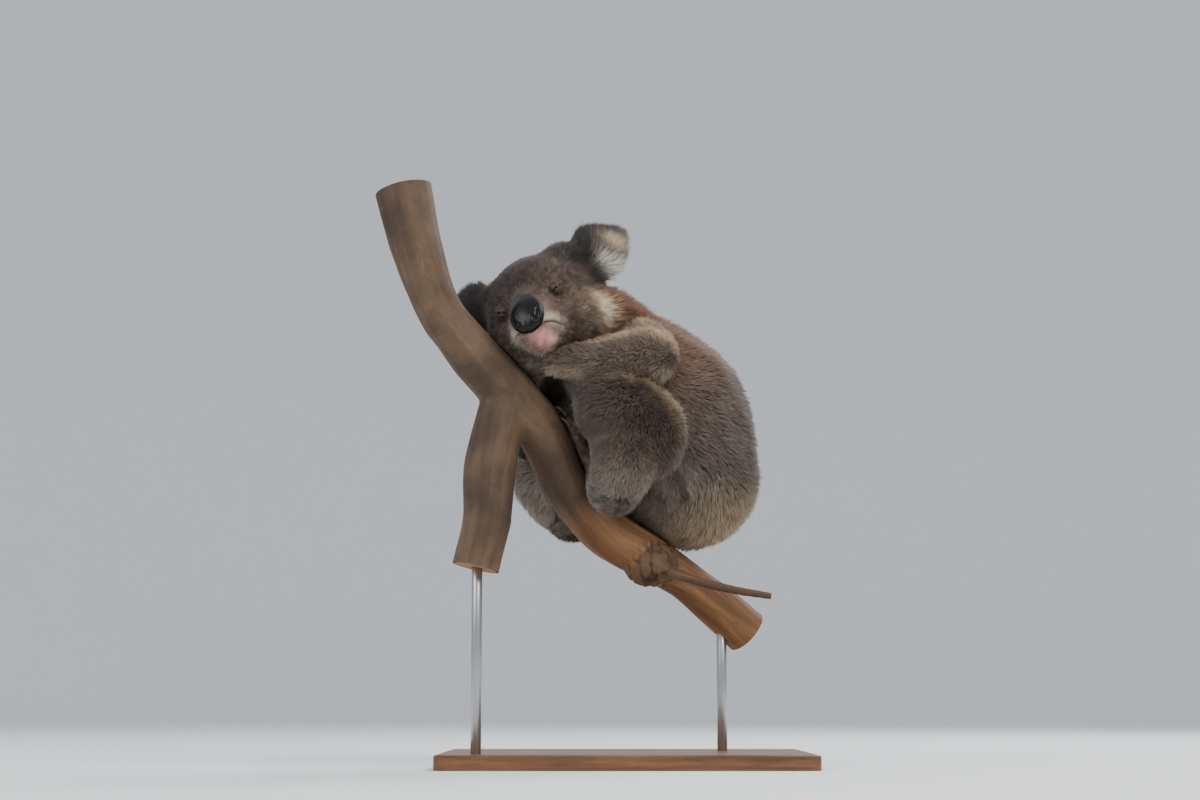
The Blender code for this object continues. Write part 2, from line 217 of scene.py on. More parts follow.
BOARD_SIZE = (0.500, 0.380, 0.020)
bm = bmesh.new()
bmesh.ops.create_cube(bm, size=1.0)
bmesh.ops.scale(bm, vec=BOARD_SIZE, verts=bm.verts)
bmesh.ops.translate(bm, vec=(0, 0, BOARD_SIZE[2] / 2), verts=bm.verts)
upright = [e for e in bm.edges if abs(e.verts[0].co.z - e.verts[1].co.z) > 0.01]
bmesh.ops.bevel(bm, geom=upright, offset=0.012, segments=8, affect="EDGES", profile=0.5)
edge = [e for e in bm.edges if min(v.co.z for v in e.verts) > BOARD_SIZE[2] - 0.0001
        and len(e.link_faces) == 2 and e.calc_face_angle() > 0.5]
bmesh.ops.bevel(bm, geom=edge, offset=0.003, segments=4, affect="EDGES", profile=0.5)
bmesh.ops.triangulate(bm, faces=bm.faces)
mesh = bpy.data.meshes.new("stand_board")
bm.to_mesh(mesh)
bm.free()
board = bpy.data.objects.new("stand_board", mesh)
bpy.context.scene.collection.objects.link(board)
wood = Look("stand_wood", roughness=0.34, specular_ior_level=0.4)
grain = wood.node("Mapping", None, dict(Vector=wood.place(), Scale=(2.2, 26.0, 26.0)))
streak = wood.noise(grain, 3.0, 6.0, 0.62)
fine = wood.noise(grain, 22.0, 3.0)
tone = wood.ramp(streak * 0.8 + fine * 0.2, (0.30, linear(70, 44, 26)),
                 (0.52, linear(112, 74, 46)), (0.72, linear(140, 98, 62)))
mesh.materials.append(wood.set(base_color=tone, normal=wood.bump(fine, 0.12, 0.0006)))
put(board, "stand_wood", "stand_base")

steel = Look("stand_steel", metallic=1.0, base_color=(0.42, 0.42, 0.43, 1))
brush = steel.node("Mapping", None, dict(Vector=steel.place(), Scale=(1.0, 1.0, 60.0)))
steel.set(roughness=0.26 + 0.16 * steel.noise(brush, 30.0, 3.0))
TURNED = [0, 3, 2, 1]  # a quad's corners the other way round
ROD_RADIUS, ROD_FOOT, EASED = 0.007, 0.008, 0.0004  # the foot's height, and the eased ends
for name, x, y, top in (("left", -0.198, -0.129, 0.288), ("right", 0.136, 0.066, 0.206)):
    rings = [(0.0001, ROD_FOOT), (ROD_RADIUS - EASED, ROD_FOOT), (ROD_RADIUS, ROD_FOOT + EASED),
             (ROD_RADIUS, top - EASED), (ROD_RADIUS - EASED, top), (0.0001, top)]
    quads = ring_quads(len(rings), 48)[:, TURNED]
    put(add_mesh("stand_post_" + name, lathe(rings, 48, x, y), quads, steel.material),
        "stand_steel", "stand_rod_" + name)


# ------------------------------------------------------------------ perch
# A cut length of eucalypt: the limb the koala holds, the fork below it, a knot with cracked
# bark and a snapped twig. Smooth bark, grey-brown above and orange-tan where it has peeled.
def attach(obj, name, data):
    """Stores a number, a vector or a linear colour for each point of the mesh."""
    data = np.asarray(data, np.float32)
    kind, field = {1: ("FLOAT", "value"), 3: ("FLOAT_VECTOR", "vector"),
                   4: ("FLOAT_COLOR", "color")}[data.shape[1] if data.ndim > 1 else 1]
    kinds = obj.data.color_attributes if field == "color" else obj.data.attributes
    kinds.new(name, kind, "POINT").data.foreach_set(field, data.ravel())


def lattice_noise(points, size, seed, octaves=3):
    """Value noise from -1 to 1: hashed lattice corners blended by smooth steps, octaves summed."""
    total, weight = np.zeros(len(points)), 0.0
    for octave in range(octaves):
        place = points / size * 2 ** octave + seed * 17.3
        cell = np.floor(place).astype(np.int64)
        part = place - cell
        part = part * part * (3 - 2 * part)
        value = np.zeros(len(points))
        for corner in range(8):
            offset = np.array([corner & 1, corner >> 1 & 1, corner >> 2 & 1])
            key = (cell + offset) @ np.array([73856093, 19349663, 83492791])
            key = (key ^ (key >> 13)) * 1274126177 & 0xFFFFFFFF
            key = (key ^ (key >> 15)) * 668265263 & 0xFFFFFFFF
            share = np.prod(np.where(offset, part, 1 - part), axis=1)
            value += share * ((key >> 8 & 0xFFFF) / 32767.5 - 1)
        total += value * 0.5 ** octave
        weight += 0.5 ** octave
    return total / weight


def unit(vectors):
    return vectors / np.linalg.norm(vectors, axis=-1, keepdims=True)


def smooth_line(knots, steps):
    """Catmull-Rom points through the knots (x, y, z, radius), steps to each span."""
    ends = np.array(knots, float)
    ends = np.vstack([2 * ends[0] - ends[1], ends, 2 * ends[-1] - ends[-2]])
    line = []
    for i in range(1, len(ends) - 2):
        a, b, c, d = ends[i - 1:i + 3]
        for t in np.arange(steps) / steps:
            line.append(0.5 * (2 * b + (c - a) * t + (2 * a - 5 * b + 4 * c - d) * t ** 2
                               + (3 * b - a - 3 * c + d) * t ** 3))
    return np.array(line + [ends[-2]])


def tube(line, sides):
    """Closed tube round a line of (x, y, z, radius): points and triangles."""
    along = unit(np.gradient(line[:, :3], axis=0))
    side = unit(np.cross(along, (0.3, 1.0, 0.2)))
    other = np.cross(along, side)
    turn = np.linspace(0, 2 * math.pi, sides, endpoint=False)
    ring = (side[:, None] * np.cos(turn)[None, :, None]
            + other[:, None] * np.sin(turn)[None, :, None])
    points = (line[:, None, :3] + ring * line[:, None, 3:]).reshape(-1, 3)
    quads = ring_quads(len(line), sides)
    faces = np.vstack([quads[:, [0, 3, 2]], quads[:, [0, 2, 1]]])
    count, fan, last = len(points), np.arange(sides), (len(line) - 1) * sides
    nxt = (fan + 1) % sides
    points = np.vstack([points, line[0, :3], line[-1, :3]])
    faces = np.vstack([faces, np.stack([nxt, fan, np.full(sides, count)], -1),
                       np.stack([fan + last, nxt + last, np.full(sides, count + 1)], -1)])
    return points, faces


def joined(parts):
    """The points and faces of many parts as one."""
    start = np.cumsum([0] + [len(p) for p, f in parts])
    return np.vstack([p for p, f in parts]), np.vstack([f + s for (p, f), s in zip(parts, start)])


def sphere(rings, sides, hole):
    """Points in rings on a unit ball: the cosine down its axis, and two places across it."""
    a, b = np.meshgrid(np.linspace(hole, math.pi - hole, rings),
                       np.linspace(0, 2 * math.pi, sides, endpoint=False), indexing="ij")
    return [v.ravel() for v in (np.cos(a), np.sin(a) * np.cos(b), np.sin(a) * np.sin(b))]


def welded(parts, voxel):
    """Closed parts melted into one surface of quads by voxels, as a bmesh."""
    obj = add_mesh("weld", *joined(parts), None)
    melt = obj.modifiers.new("melt", "REMESH")
    melt.mode, melt.voxel_size, melt.adaptivity = "VOXEL", voxel, 0.0
    bm = bmesh.new()
    bm.from_mesh(obj.evaluated_get(bpy.context.evaluated_depsgraph_get()).to_mesh())
    bpy.data.objects.remove(obj)
    return bm


def tree_of(points):
    """Finds the nearest of the points."""
    tree = KDTree(len(points))
    for k, point in enumerate(points):
        tree.insert(point, k)
    tree.balance()
    return tree


def points_of(bm):
    bm.verts.index_update()
    return np.array([v.co for v in bm.verts])


def corners_of(items):
    """Indices of the points of each edge or face."""
    return np.array([[v.index for v in item.verts] for item in items])


def relax(points, edges, rounds, share=0.5, amount=1.0):
    """Moves each point toward the mean of its neighbours, by a share that may vary."""
    degree = np.bincount(edges.ravel(), minlength=len(points)).astype(float)
    for _ in range(rounds):
        mean = np.empty_like(points)
        for axis in range(points.shape[1]):
            mean[:, axis] = (np.bincount(edges[:, 0], points[edges[:, 1], axis], len(points))
                             + np.bincount(edges[:, 1], points[edges[:, 0], axis],
                                           len(points))) / degree
        points = points + (mean - points) * share * amount
    return points


def vertex_normals(points, triangles):
    """Unit normals of points, each the area-weighted mean of its triangles'."""
    corner = points[triangles]
    face = np.cross(corner[:, 1] - corner[:, 0], corner[:, 2] - corner[:, 0])
    total = np.stack([np.bincount(triangles.ravel(), np.repeat(face[:, k], 3), len(points))
                      for k in range(3)], 1)
    return total / (np.linalg.norm(total, axis=1, keepdims=True) + 1e-12)


LIMB = ((-0.301, -0.135, 0.775, 0.038), (-0.281, -0.140, 0.691, 0.035),
        (-0.251, -0.138, 0.610, 0.031), (-0.207, -0.130, 0.552, 0.033),
        (-0.161, -0.115, 0.501, 0.035), (-0.114, -0.087, 0.448, 0.034),
        (-0.084, -0.062, 0.385, 0.032), (-0.038, -0.035, 0.328, 0.033),
        (0.018, 0.000, 0.293, 0.032), (0.074, 0.035, 0.263, 0.029),
        (0.127, 0.062, 0.224, 0.031), (0.172, 0.084, 0.186, 0.033))
SIDE_LIMB = ((-0.161, -0.115, 0.500, 0.032), (-0.181, -0.120, 0.402, 0.035),
             (-0.186, -0.125, 0.329, 0.032), (-0.200, -0.130, 0.264, 0.031))
TWIG = ((0.046, -0.014, 0.272, 0.010), (0.087, -0.048, 0.254, 0.0072),
        (0.141, -0.062, 0.239, 0.0062), (0.196, -0.072, 0.229, 0.0052))
KNOT = np.array((0.034, -0.006, 0.276))
KNOT_RADII = (0.036, 0.033, 0.031)
BARK_VOXEL = 0.0023
SAW_ALLOWANCE = 0.012  # each end is made this much too long, and sawn off flat later
limb, side_limb, twig = smooth_line(LIMB, 10), smooth_line(SIDE_LIMB, 10), smooth_line(TWIG, 8)
cuts, longer = [], []
for line, ends in ((limb, (0, -1)), (side_limb, (-1,)), (twig, (-1,))):
    longer.append(line)
    for end in ends:
        out = unit(line[end, :3] - line[-2 if end else 1, :3])
        cuts.append((line[end, :3], out))
        extra = np.append(line[end, :3] + out * SAW_ALLOWANCE, line[end, 3])
        longer[-1] = np.vstack([longer[-1], extra] if end else [extra, longer[-1]])
cap, e1, e2 = sphere(24, 32, 0.01)
quads, last = ring_quads(24, 32), 23 * 32
ball_faces = np.vstack([quads[:, [0, 1, 2]], quads[:, [0, 2, 3]],
                        [[k, k + 1, 0] for k in range(1, 31)],
                        [[last, last + k, last + k + 1] for k in range(1, 31)]])
bm = welded([tube(longer[0], 40), tube(longer[1], 40), tube(longer[2], 20),
             (np.stack([e1, e2, cap], -1) * KNOT_RADII + KNOT, ball_faces)], BARK_VOXEL)
spots = points_of(bm)
edges = corners_of(bm.edges)
bmesh.ops.triangulate(bm, faces=bm.faces)
triangles = corners_of(bm.faces)
spots = relax(spots, edges, 8)

lines = np.vstack([limb, side_limb, twig])
steps = [np.concatenate([[0], np.cumsum(np.linalg.norm(np.diff(line[:, :3], axis=0), axis=1))])
         for line in (limb, side_limb, twig)]
station = np.concatenate([steps[0], steps[1] + 0.37, steps[2] + 2.0])
ways = unit(np.vstack([np.gradient(line[:, :3], axis=0) for line in (limb, side_limb, twig)]))
tree = tree_of(lines[:, :3])
near = np.array([tree.find(p)[1] for p in spots])
gap = spots - lines[near, :3]
reach = (gap * ways[near]).sum(1)
out = gap - ways[near] * reach[:, None]
radial = out / (np.linalg.norm(out, axis=1, keepdims=True) + 1e-9)
travel = station[near] + reach
stretched = radial * 0.033 + ways[near] * (travel * 0.22)[:, None]
normals = vertex_normals(spots, triangles)
knotty = np.exp(-(np.linalg.norm((spots - KNOT) / (0.036, 0.033, 0.034), axis=1) / 1.12) ** 6)
waves = lattice_noise(spots, 0.060, 1, 2) * 0.0022
ridges = lattice_noise(stretched, 0.010, 2, 3) * 0.0008
cracks = np.abs(lattice_noise(spots * (1, 1, 0.6), 0.013, 3, 3))
cracks = np.clip(1 - cracks / 0.16, 0, 1) * knotty
slim = np.clip(lines[near, 3] / 0.03, 0.25, 1)
spots = spots + normals * ((waves + ridges) * slim - cracks * 0.0042
                           + knotty * (0.001 + 0.0016 * lattice_noise(spots, 0.02, 4, 2))
                           )[:, None]
bark = Look("bark", roughness=0.72, specular_ior_level=0.3)
streaks = bark.noise(bark.attribute("bark_grain", "Vector"), 46.0, 5.0, 0.6)
blotch = bark.noise(bark.place(), 13.0, 4.0, 0.55)
pores = bark.noise(bark.place(), 260.0, 2.0)
hue = bark.ramp(blotch * 0.65 + streaks * 0.35, (0.34, linear(58, 45, 36)),
                (0.47, linear(76, 59, 45)), (0.60, linear(98, 78, 60)),
                (0.72, linear(118, 98, 80)))
tan = bark.ramp(streaks, (0.3, linear(84, 56, 34)), (0.55, linear(132, 92, 58)),
                (0.75, linear(158, 122, 86)))
hue = bark.mix(bark.attribute("bark_peeled"), hue, tan)
hue = bark.mix(bark.attribute("bark_crack"), hue, linear(26, 17, 11))
hue = bark.mix((bark.ramp(pores, (0.30, (1, 1, 1)), (0.42, (0, 0, 0))) * 0.35), hue,
               linear(60, 44, 32))
perch = add_mesh("perch", spots, triangles,
                 bark.set(base_color=hue, normal=bark.bump(
                     streaks * 0.6 + pores * 0.25 + blotch * 0.4, 0.55, 0.0022)))
bm.free()
peeled = np.clip(0.35 + 1.6 * lattice_noise(spots, 0.09, 5, 2)
                 + 0.9 * np.clip((spots[:, 0] + 0.03) / 0.1, -1, 1), 0, 1)
peeled = np.clip(peeled + knotty * 0.5, 0, 1) * 0.8 * np.clip((slim - 0.2) * 2, 0.2, 1)
attach(perch, "bark_grain", np.stack([radial[:, 0], radial[:, 1] + radial[:, 2] * 0.7,
                                      travel * 2.0], 1) * 0.05)
attach(perch, "bark_peeled", peeled)
attach(perch, "bark_crack", cracks)
bm = bmesh.new()
bm.from_mesh(perch.data)
for place, way in cuts:
    close = {v for v in bm.verts if (v.co - Vector(place)).length < 0.075}
    geom = [v for v in bm.verts if v in close]
    geom += [e for e in bm.edges if close.issuperset(e.verts)]
    geom += [face for face in bm.faces if close.issuperset(face.verts)]
    bmesh.ops.bisect_plane(bm, geom=geom, plane_co=place, plane_no=way, clear_outer=True)
bm.to_mesh(perch.data)
loops = []
open_edges = {e: True for e in bm.edges if len(e.link_faces) == 1}
while open_edges:
    onward = open_edges.popitem()[0]
    chain = [onward.verts[0]]
    while onward:
        open_edges.pop(onward, None)
        chain.append(onward.other_vert(chain[-1]))
        onward = next((e for e in chain[-1].link_edges if e in open_edges), None)
    loops.append(np.array([v.co for v in chain[:-1]]))
bm.free()
perch.data.update()
put(perch, "bark", "perch_limb", "perch_side_limb", "perch_twig")

# The sawn faces: pale wood with growth rings, a dark bark edge and a fine bump.
sawn = Look("sawn_wood", roughness=0.8, specular_ior_level=0.2)
out = sawn.attribute("ring_out")
rings = (sawn.node("TexWave", dict(wave_type="RINGS", rings_direction="SPHERICAL"),
                   dict(Vector=sawn.attribute("ring_place", "Vector"), Scale=95.0,
                        Distortion=1.6, Detail=2.0)))
tone = sawn.mix(rings, linear(172, 132, 92), linear(128, 88, 56))
tone = sawn.mix(sawn.ramp(out, (0.0, (1, 1, 1)), (0.35, (0, 0, 0))), tone,
                linear(110, 66, 42))
tone = sawn.mix(sawn.ramp(out, (0.88, (0, 0, 0)), (0.93, (1, 1, 1))), tone,
                linear(62, 42, 28))
points, faces, fraction, local = [], [], [], []
for loop in loops:
    middle = loop.mean(0)
    place, way = min(cuts, key=lambda c: np.linalg.norm(c[0] - middle))
    quads = ring_quads(14, len(loop))[:, TURNED] + sum(len(p) for p in points)
    for share in np.linspace(0.02, 1, 14):
        points.append(middle + (loop - middle) * share)
        fraction.append(np.full(len(loop), share))
        local.append((loop - middle) * share)
    turned = np.cross(loop[1] - loop[0], loop[0] - middle) @ way
    faces.append(quads[:, ::-1] if turned > 0 else quads)
sawn_ends = add_mesh("perch_sawn_ends", np.vstack(points), np.vstack(faces),
                     sawn.set(base_color=tone,
                              normal=sawn.bump(sawn.noise(sawn.place(), 180.0), 0.3, 0.0008)),
                     smooth=False)
attach(sawn_ends, "ring_out", np.concatenate(fraction))
attach(sawn_ends, "ring_place", np.vstack(local))
put(sawn_ends, "bark")


# ------------------------------------------------------------------ skin
# One skin over all the flesh, lying inside the CAD's outline by the depth of the coat. It is
# bare on the lids, lips and chin; everywhere else it shows only between the tufts, so it
# carries their markings.
def frame_matrix(forward, left, origin):
    """A matrix whose columns point forward, left and up, and the frame's origin."""
    forward = unit(np.array(forward, float))
    left = np.array(left, float)
    return np.stack([forward, left, np.cross(forward, left)], 1), np.array(origin)


def in_head(points):
    """(forward, left, up) of the points in the head's frame."""
    return (points - HEAD_AT) @ HEAD


def from_pair(local, forward, left, up):
    """Distance from the nearer of a place in the head's frame and its mirror image."""
    return np.minimum(*(np.linalg.norm(local - (forward, way * left, up), axis=1)
                        for way in (1, -1)))


yaw, lift, tilt = (math.radians(a) for a in (20, 12, 22))
ahead = Vector((-math.sin(yaw) * math.cos(lift), -math.cos(yaw) * math.cos(lift),
                math.sin(lift)))
aside = Matrix.Rotation(tilt, 3, ahead) @ Vector((math.cos(yaw), -math.sin(yaw), 0))
HEAD, HEAD_AT = frame_matrix(ahead, aside, (-0.107, -0.080, 0.596))
EYE_AT = np.array((0.0545, 0.0405, 0.019))  # the left eyeball's middle and its line of sight
EYE_LOOK = np.array((0.86, 0.40, -0.14))
EYE_SLANT = math.radians(18)
EYE_RADIUS, LID_RADIUS = 0.0085, 0.0097
yaw = math.radians(33)
BODY, BODY_AT = frame_matrix((-math.cos(yaw), -math.sin(yaw), 0),
                             (math.sin(yaw), -math.cos(yaw), 0), (0.060, 0.030, 0.413))

def cad_solid(name):
    """A CAD node as a bmesh, with the points that its faces share joined."""
    bm = bmesh.new()
    bm.from_mesh(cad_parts[name].data)
    bmesh.ops.remove_doubles(bm, verts=bm.verts, dist=0.00002)
    return bm


FLESH = sorted(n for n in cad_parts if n.split("_")[0] in
               ("head", "neck", "trunk", "upper", "forearm", "hand", "thigh", "shank",
                "foot", "ear"))
SKIN_VOXEL = 0.0032
MELT_OVERLAP = 0.0014  # each solid swells by this, to meet its neighbours
parts, samples, labels = [], [], []
for name in [*FLESH, "nose", "eye_left", "eye_right"]:
    bm = cad_solid(name)
    bmesh.ops.triangulate(bm, faces=bm.faces)
    points, triangles = points_of(bm), corners_of(bm.faces)
    bm.free()
    parts.append((points + vertex_normals(points, triangles) * MELT_OVERLAP, triangles))
    if name in FLESH:
        corner = points[triangles]
        for a, b, c in ((1, 0, 0), (0, 1, 0), (0, 0, 1), (.5, .5, 0), (.5, 0, .5), (0, .5, .5),
                        (.34, .33, .33), (.7, .15, .15), (.15, .7, .15), (.15, .15, .7)):
            samples.append(corner[:, 0] * a + corner[:, 1] * b + corner[:, 2] * c)
            labels.append(np.full(len(triangles), FLESH.index(name)))
samples, labels = np.vstack(samples), np.concatenate(labels)
bm = welded(parts, SKIN_VOXEL)
label_tree = tree_of(samples)


def nearest_label(points):
    """Index in FLESH of the CAD solid nearest each point."""
    return np.array([labels[label_tree.find(p)[1]] for p in points])


def by_flesh(table):
    """The table's row for each of FLESH, by the first word of its name."""
    return np.array([table[name.split("_")[0]] for name in FLESH])


# The faceted outline is relaxed, most over the broad trunk and thighs and least on the paws.
first = spots = points_of(bm)
edges = corners_of(bm.edges)
kind = nearest_label(spots)
amount = by_flesh({"trunk": 1, "thigh": 1, "neck": 1, "upper": 0.8, "forearm": 0.6,
                   "shank": 0.7, "head": 0.35, "ear": 0.3, "hand": 0.08, "foot": 0.1})
amount = amount[kind][:, None]
amount = relax(amount, edges, 6)
for _ in range(34):
    spots = relax(spots, edges, 1, 0.5, amount)
    spots = relax(spots, edges, 1, -0.42, amount)
spots = relax(spots, edges, 5, 0.5, amount)
for vert, spot in zip(bm.verts, spots):
    vert.co = spot
bm.normal_update()
out = np.array([v.normal for v in bm.verts])
loss = relax(((first - spots) * out).sum(1)[:, None], edges, 25)
spots = spots + out * loss * 0.9

# Finer mesh over the front of the face, and finer again about the eyes, nose and mouth.
for vert, spot in zip(bm.verts, spots):
    vert.co = spot
for level in (0, 1):
    bm.verts.ensure_lookup_table()
    local = in_head(np.array([v.co for v in bm.verts]))
    f, l, u = local.T
    fine = (f > 0.022) & (np.abs(l) < 0.080) & (u > -0.085) & (u < 0.070)
    if level:
        front = (f > 0.052) & (np.abs(l) < 0.042) & (u > -0.078) & (u < 0.000)
        fine = (from_pair(local, *EYE_AT) < 0.018) | front
    chosen = [e for e in bm.edges if all(fine[v.index] for v in e.verts)]
    bmesh.ops.subdivide_edges(bm, edges=chosen, cuts=1, use_grid_fill=True)
    bm.verts.index_update()
bmesh.ops.triangulate(bm, faces=bm.faces)
spots, triangles = points_of(bm), corners_of(bm.faces)
bm.free()
edges = np.concatenate([triangles[:, [0, 1]], triangles[:, [1, 2]], triangles[:, [2, 0]]])
edges = np.unique(np.sort(edges, axis=1), axis=0)
spots = relax(spots, edges, 2)

kind = nearest_label(spots)
weight = np.zeros((len(spots), len(FLESH)))
weight[np.arange(len(spots)), kind] = 1
sharp = relax(weight, edges, 2)
soft = relax(weight, edges, 14)
f, l, u = in_head(spots).T
side = np.abs(l)


def step(value, low, high):
    """0 below low, 1 above high, and a smooth rise between."""
    t = np.clip((value - low) / (high - low), 0, 1)
    return t * t * (3 - 2 * t)


def bell(*terms):
    """Falls smoothly from 1: each term is (distance, width at which it has fallen to 1/e)."""
    return np.exp(-sum((d / w) ** 2 for d, w in terms))


# Depth of the coat: long on the back, rump and cheeks, short on the face, next to none on
# the paws, and none at all on the chin, lips and lids.
SEAM_DEPTH = 0.005  # the crease where a limb lies against the body
depth = soft @ by_flesh({"head": 0.0085, "ear": 0.0095, "neck": 0.015, "trunk": 0.0145,
                         "upper": 0.0115, "forearm": 0.0095, "hand": 0.0042,
                         "thigh": 0.0135, "shank": 0.0095, "foot": 0.0044})
on_head = soft[:, FLESH.index("head")]
muzzle = step(f, 0.045, 0.075) * step(0.056 - side, 0.0, 0.02) * step(0.02 - u, 0, 0.02)
face = step(f, 0.005, 0.045)
depth = depth * (1 - on_head) + on_head * (0.0092 - 0.0044 * face - 0.0030 * muzzle
                                           + 0.003 * step(side, 0.05, 0.08) * (1 - face))
normals = vertex_normals(spots, triangles)
easy = unit(relax(normals, edges, 6))
limbs = soft[:, [k for k, n in enumerate(FLESH) if n[:5] in ("thigh", "shank", "upper", "forea")]]
limbs = limbs.sum(1)
seam = (4 * limbs * (1 - limbs)).clip(0, 1) ** 2 * (1 - on_head)
spots = spots - easy * relax(depth[:, None] + SEAM_DEPTH * seam[:, None], edges, 4)
spots = relax(spots, edges, 3, 0.5, 1 - 0.7 * on_head[:, None])

# The face is worked in the head's frame. The lids are drawn over the eyeballs, all but a
# slit, with a fold above and a tear corner toward the nose.
local = in_head(spots)
slit, lids, lid_fold_shade = (np.zeros(len(spots)) for _ in range(3))
for way in (1, -1):
    middle, look = EYE_AT * (1, way, 1), unit(EYE_LOOK * (1, way, 1))
    across = np.array((0, way * math.cos(EYE_SLANT), math.sin(EYE_SLANT)))
    across = unit(across - look * (across @ look))
    upward = np.cross(look, across) * way
    gap = local - middle
    x, y, z = gap @ across, gap @ upward, gap @ look
    flat = np.hypot(x, y)
    share = step(0.0150 - flat, 0.0, 0.0062) * (z > -0.006)
    height = np.sqrt(np.clip(LID_RADIUS ** 2 - np.minimum(flat, LID_RADIUS) ** 2, 0, None))
    target = middle + across * x[:, None] + upward * y[:, None] + look * np.maximum(
        height, z - 0.012)[:, None]
    dome = share * step(0.0112 - flat, 0.0, 0.004)
    local = local + (target - local) * dome[:, None]
    arc = y + 0.0012 - 0.04 * x + 9.0 * x * x  # the slit sags a little in the middle
    opening = step(0.0076 - np.abs(x + 0.0008), 0, 0.0030) * step(0.0018 - np.abs(arc), 0, 0.0009)
    rim = step(0.0092 - np.abs(x), 0, 0.003) * bell((np.abs(arc) - 0.0029, 0.0012))
    fold = step(0.012 - np.abs(x), 0, 0.004) * bell((y - 0.0072 + 8 * x * x, 0.0012))
    under = step(0.011 - np.abs(x), 0, 0.004) * bell((y + 0.0078 - 8 * x * x, 0.0013))
    corner = bell((x + 0.0086, 0.0022), (y + 0.0024, 0.0016))
    push = (-0.0040 * opening + 0.0007 * rim - 0.0013 * fold - 0.0008 * under
            - 0.0016 * corner)
    here = (flat < 0.018) & (z > -0.008)
    local = local + look * (push * here)[:, None]
    slit = np.maximum(slit, (opening + corner * 0.7).clip(0, 1) * here)
    lids = np.maximum(lids, step(0.0098 - np.hypot(x * 0.92, arc * 2.1), 0, 0.0040) * here)
    lid_fold_shade = np.maximum(lid_fold_shade, (fold + 0.5 * under) * here)

# Mouth: a groove from under the nose back and up along each side, the chin full below it.
f, l, u = local.T
side = np.abs(l)
mouth_u = -0.0445 + 0.0075 * step(side, 0.006, 0.030) - 0.010 * step(side, 0.030, 0.046)
line = u - mouth_u
reach = step(f, 0.050, 0.066) * step(0.046 - side, 0, 0.008)
groove = bell((line, 0.0016)) * reach
lip = bell((line - 0.006, 0.0045)) * reach * step(side, 0.004, 0.014)
chin = bell((l - 0.004, 0.025), (u + 0.057, 0.0110)) * step(f, 0.040, 0.065)
normals = vertex_normals(local, triangles)
local = local + normals * (-0.0034 * groove + 0.0016 * lip + 0.0030 * chin
                           - 0.0018 * bell((l, 0.0016), (u + 0.045, 0.009))
                           * step(f, 0.07, 0.08))[:, None]
# Cheek crease from the lip's end, and the hollow between brow and muzzle.
crease = bell((side - 0.047 - 0.4 * (u + 0.03), 0.004), (u + 0.020, 0.022)) * step(f, 0.03, 0.05)
brow = bell((side - 0.030, 0.018), (u - 0.039, 0.012)) * step(f, 0.03, 0.05)
stop = bell((l, 0.020), (u - 0.026, 0.014)) * step(f, 0.04, 0.06)
local = local + normals * (-0.0014 * crease + 0.0016 * brow - 0.0014 * stop)[:, None]
# Behind the nose pad the skin draws back, so that only leather shows in the nostrils.
ny, nz = local[:, 1] / 0.0235, (local[:, 2] + 0.018) / 0.0305
inside = step(0.97 - np.hypot(ny, nz), 0, 0.16) * step(local[:, 0], 0.062, 0.072)
local[:, 0] -= (np.maximum(local[:, 0] - 0.078, 0) + 0.003) * inside
spots = local @ HEAD.T + HEAD_AT
normals = vertex_normals(spots, triangles)
bare_chin = np.clip(bell((l - 0.0115, 0.0275), (u + 0.0565, 0.0120)) * 1.6, 0, 1) \
    * step(f, 0.048, 0.062) * step(-line, -0.0015, 0.0015)
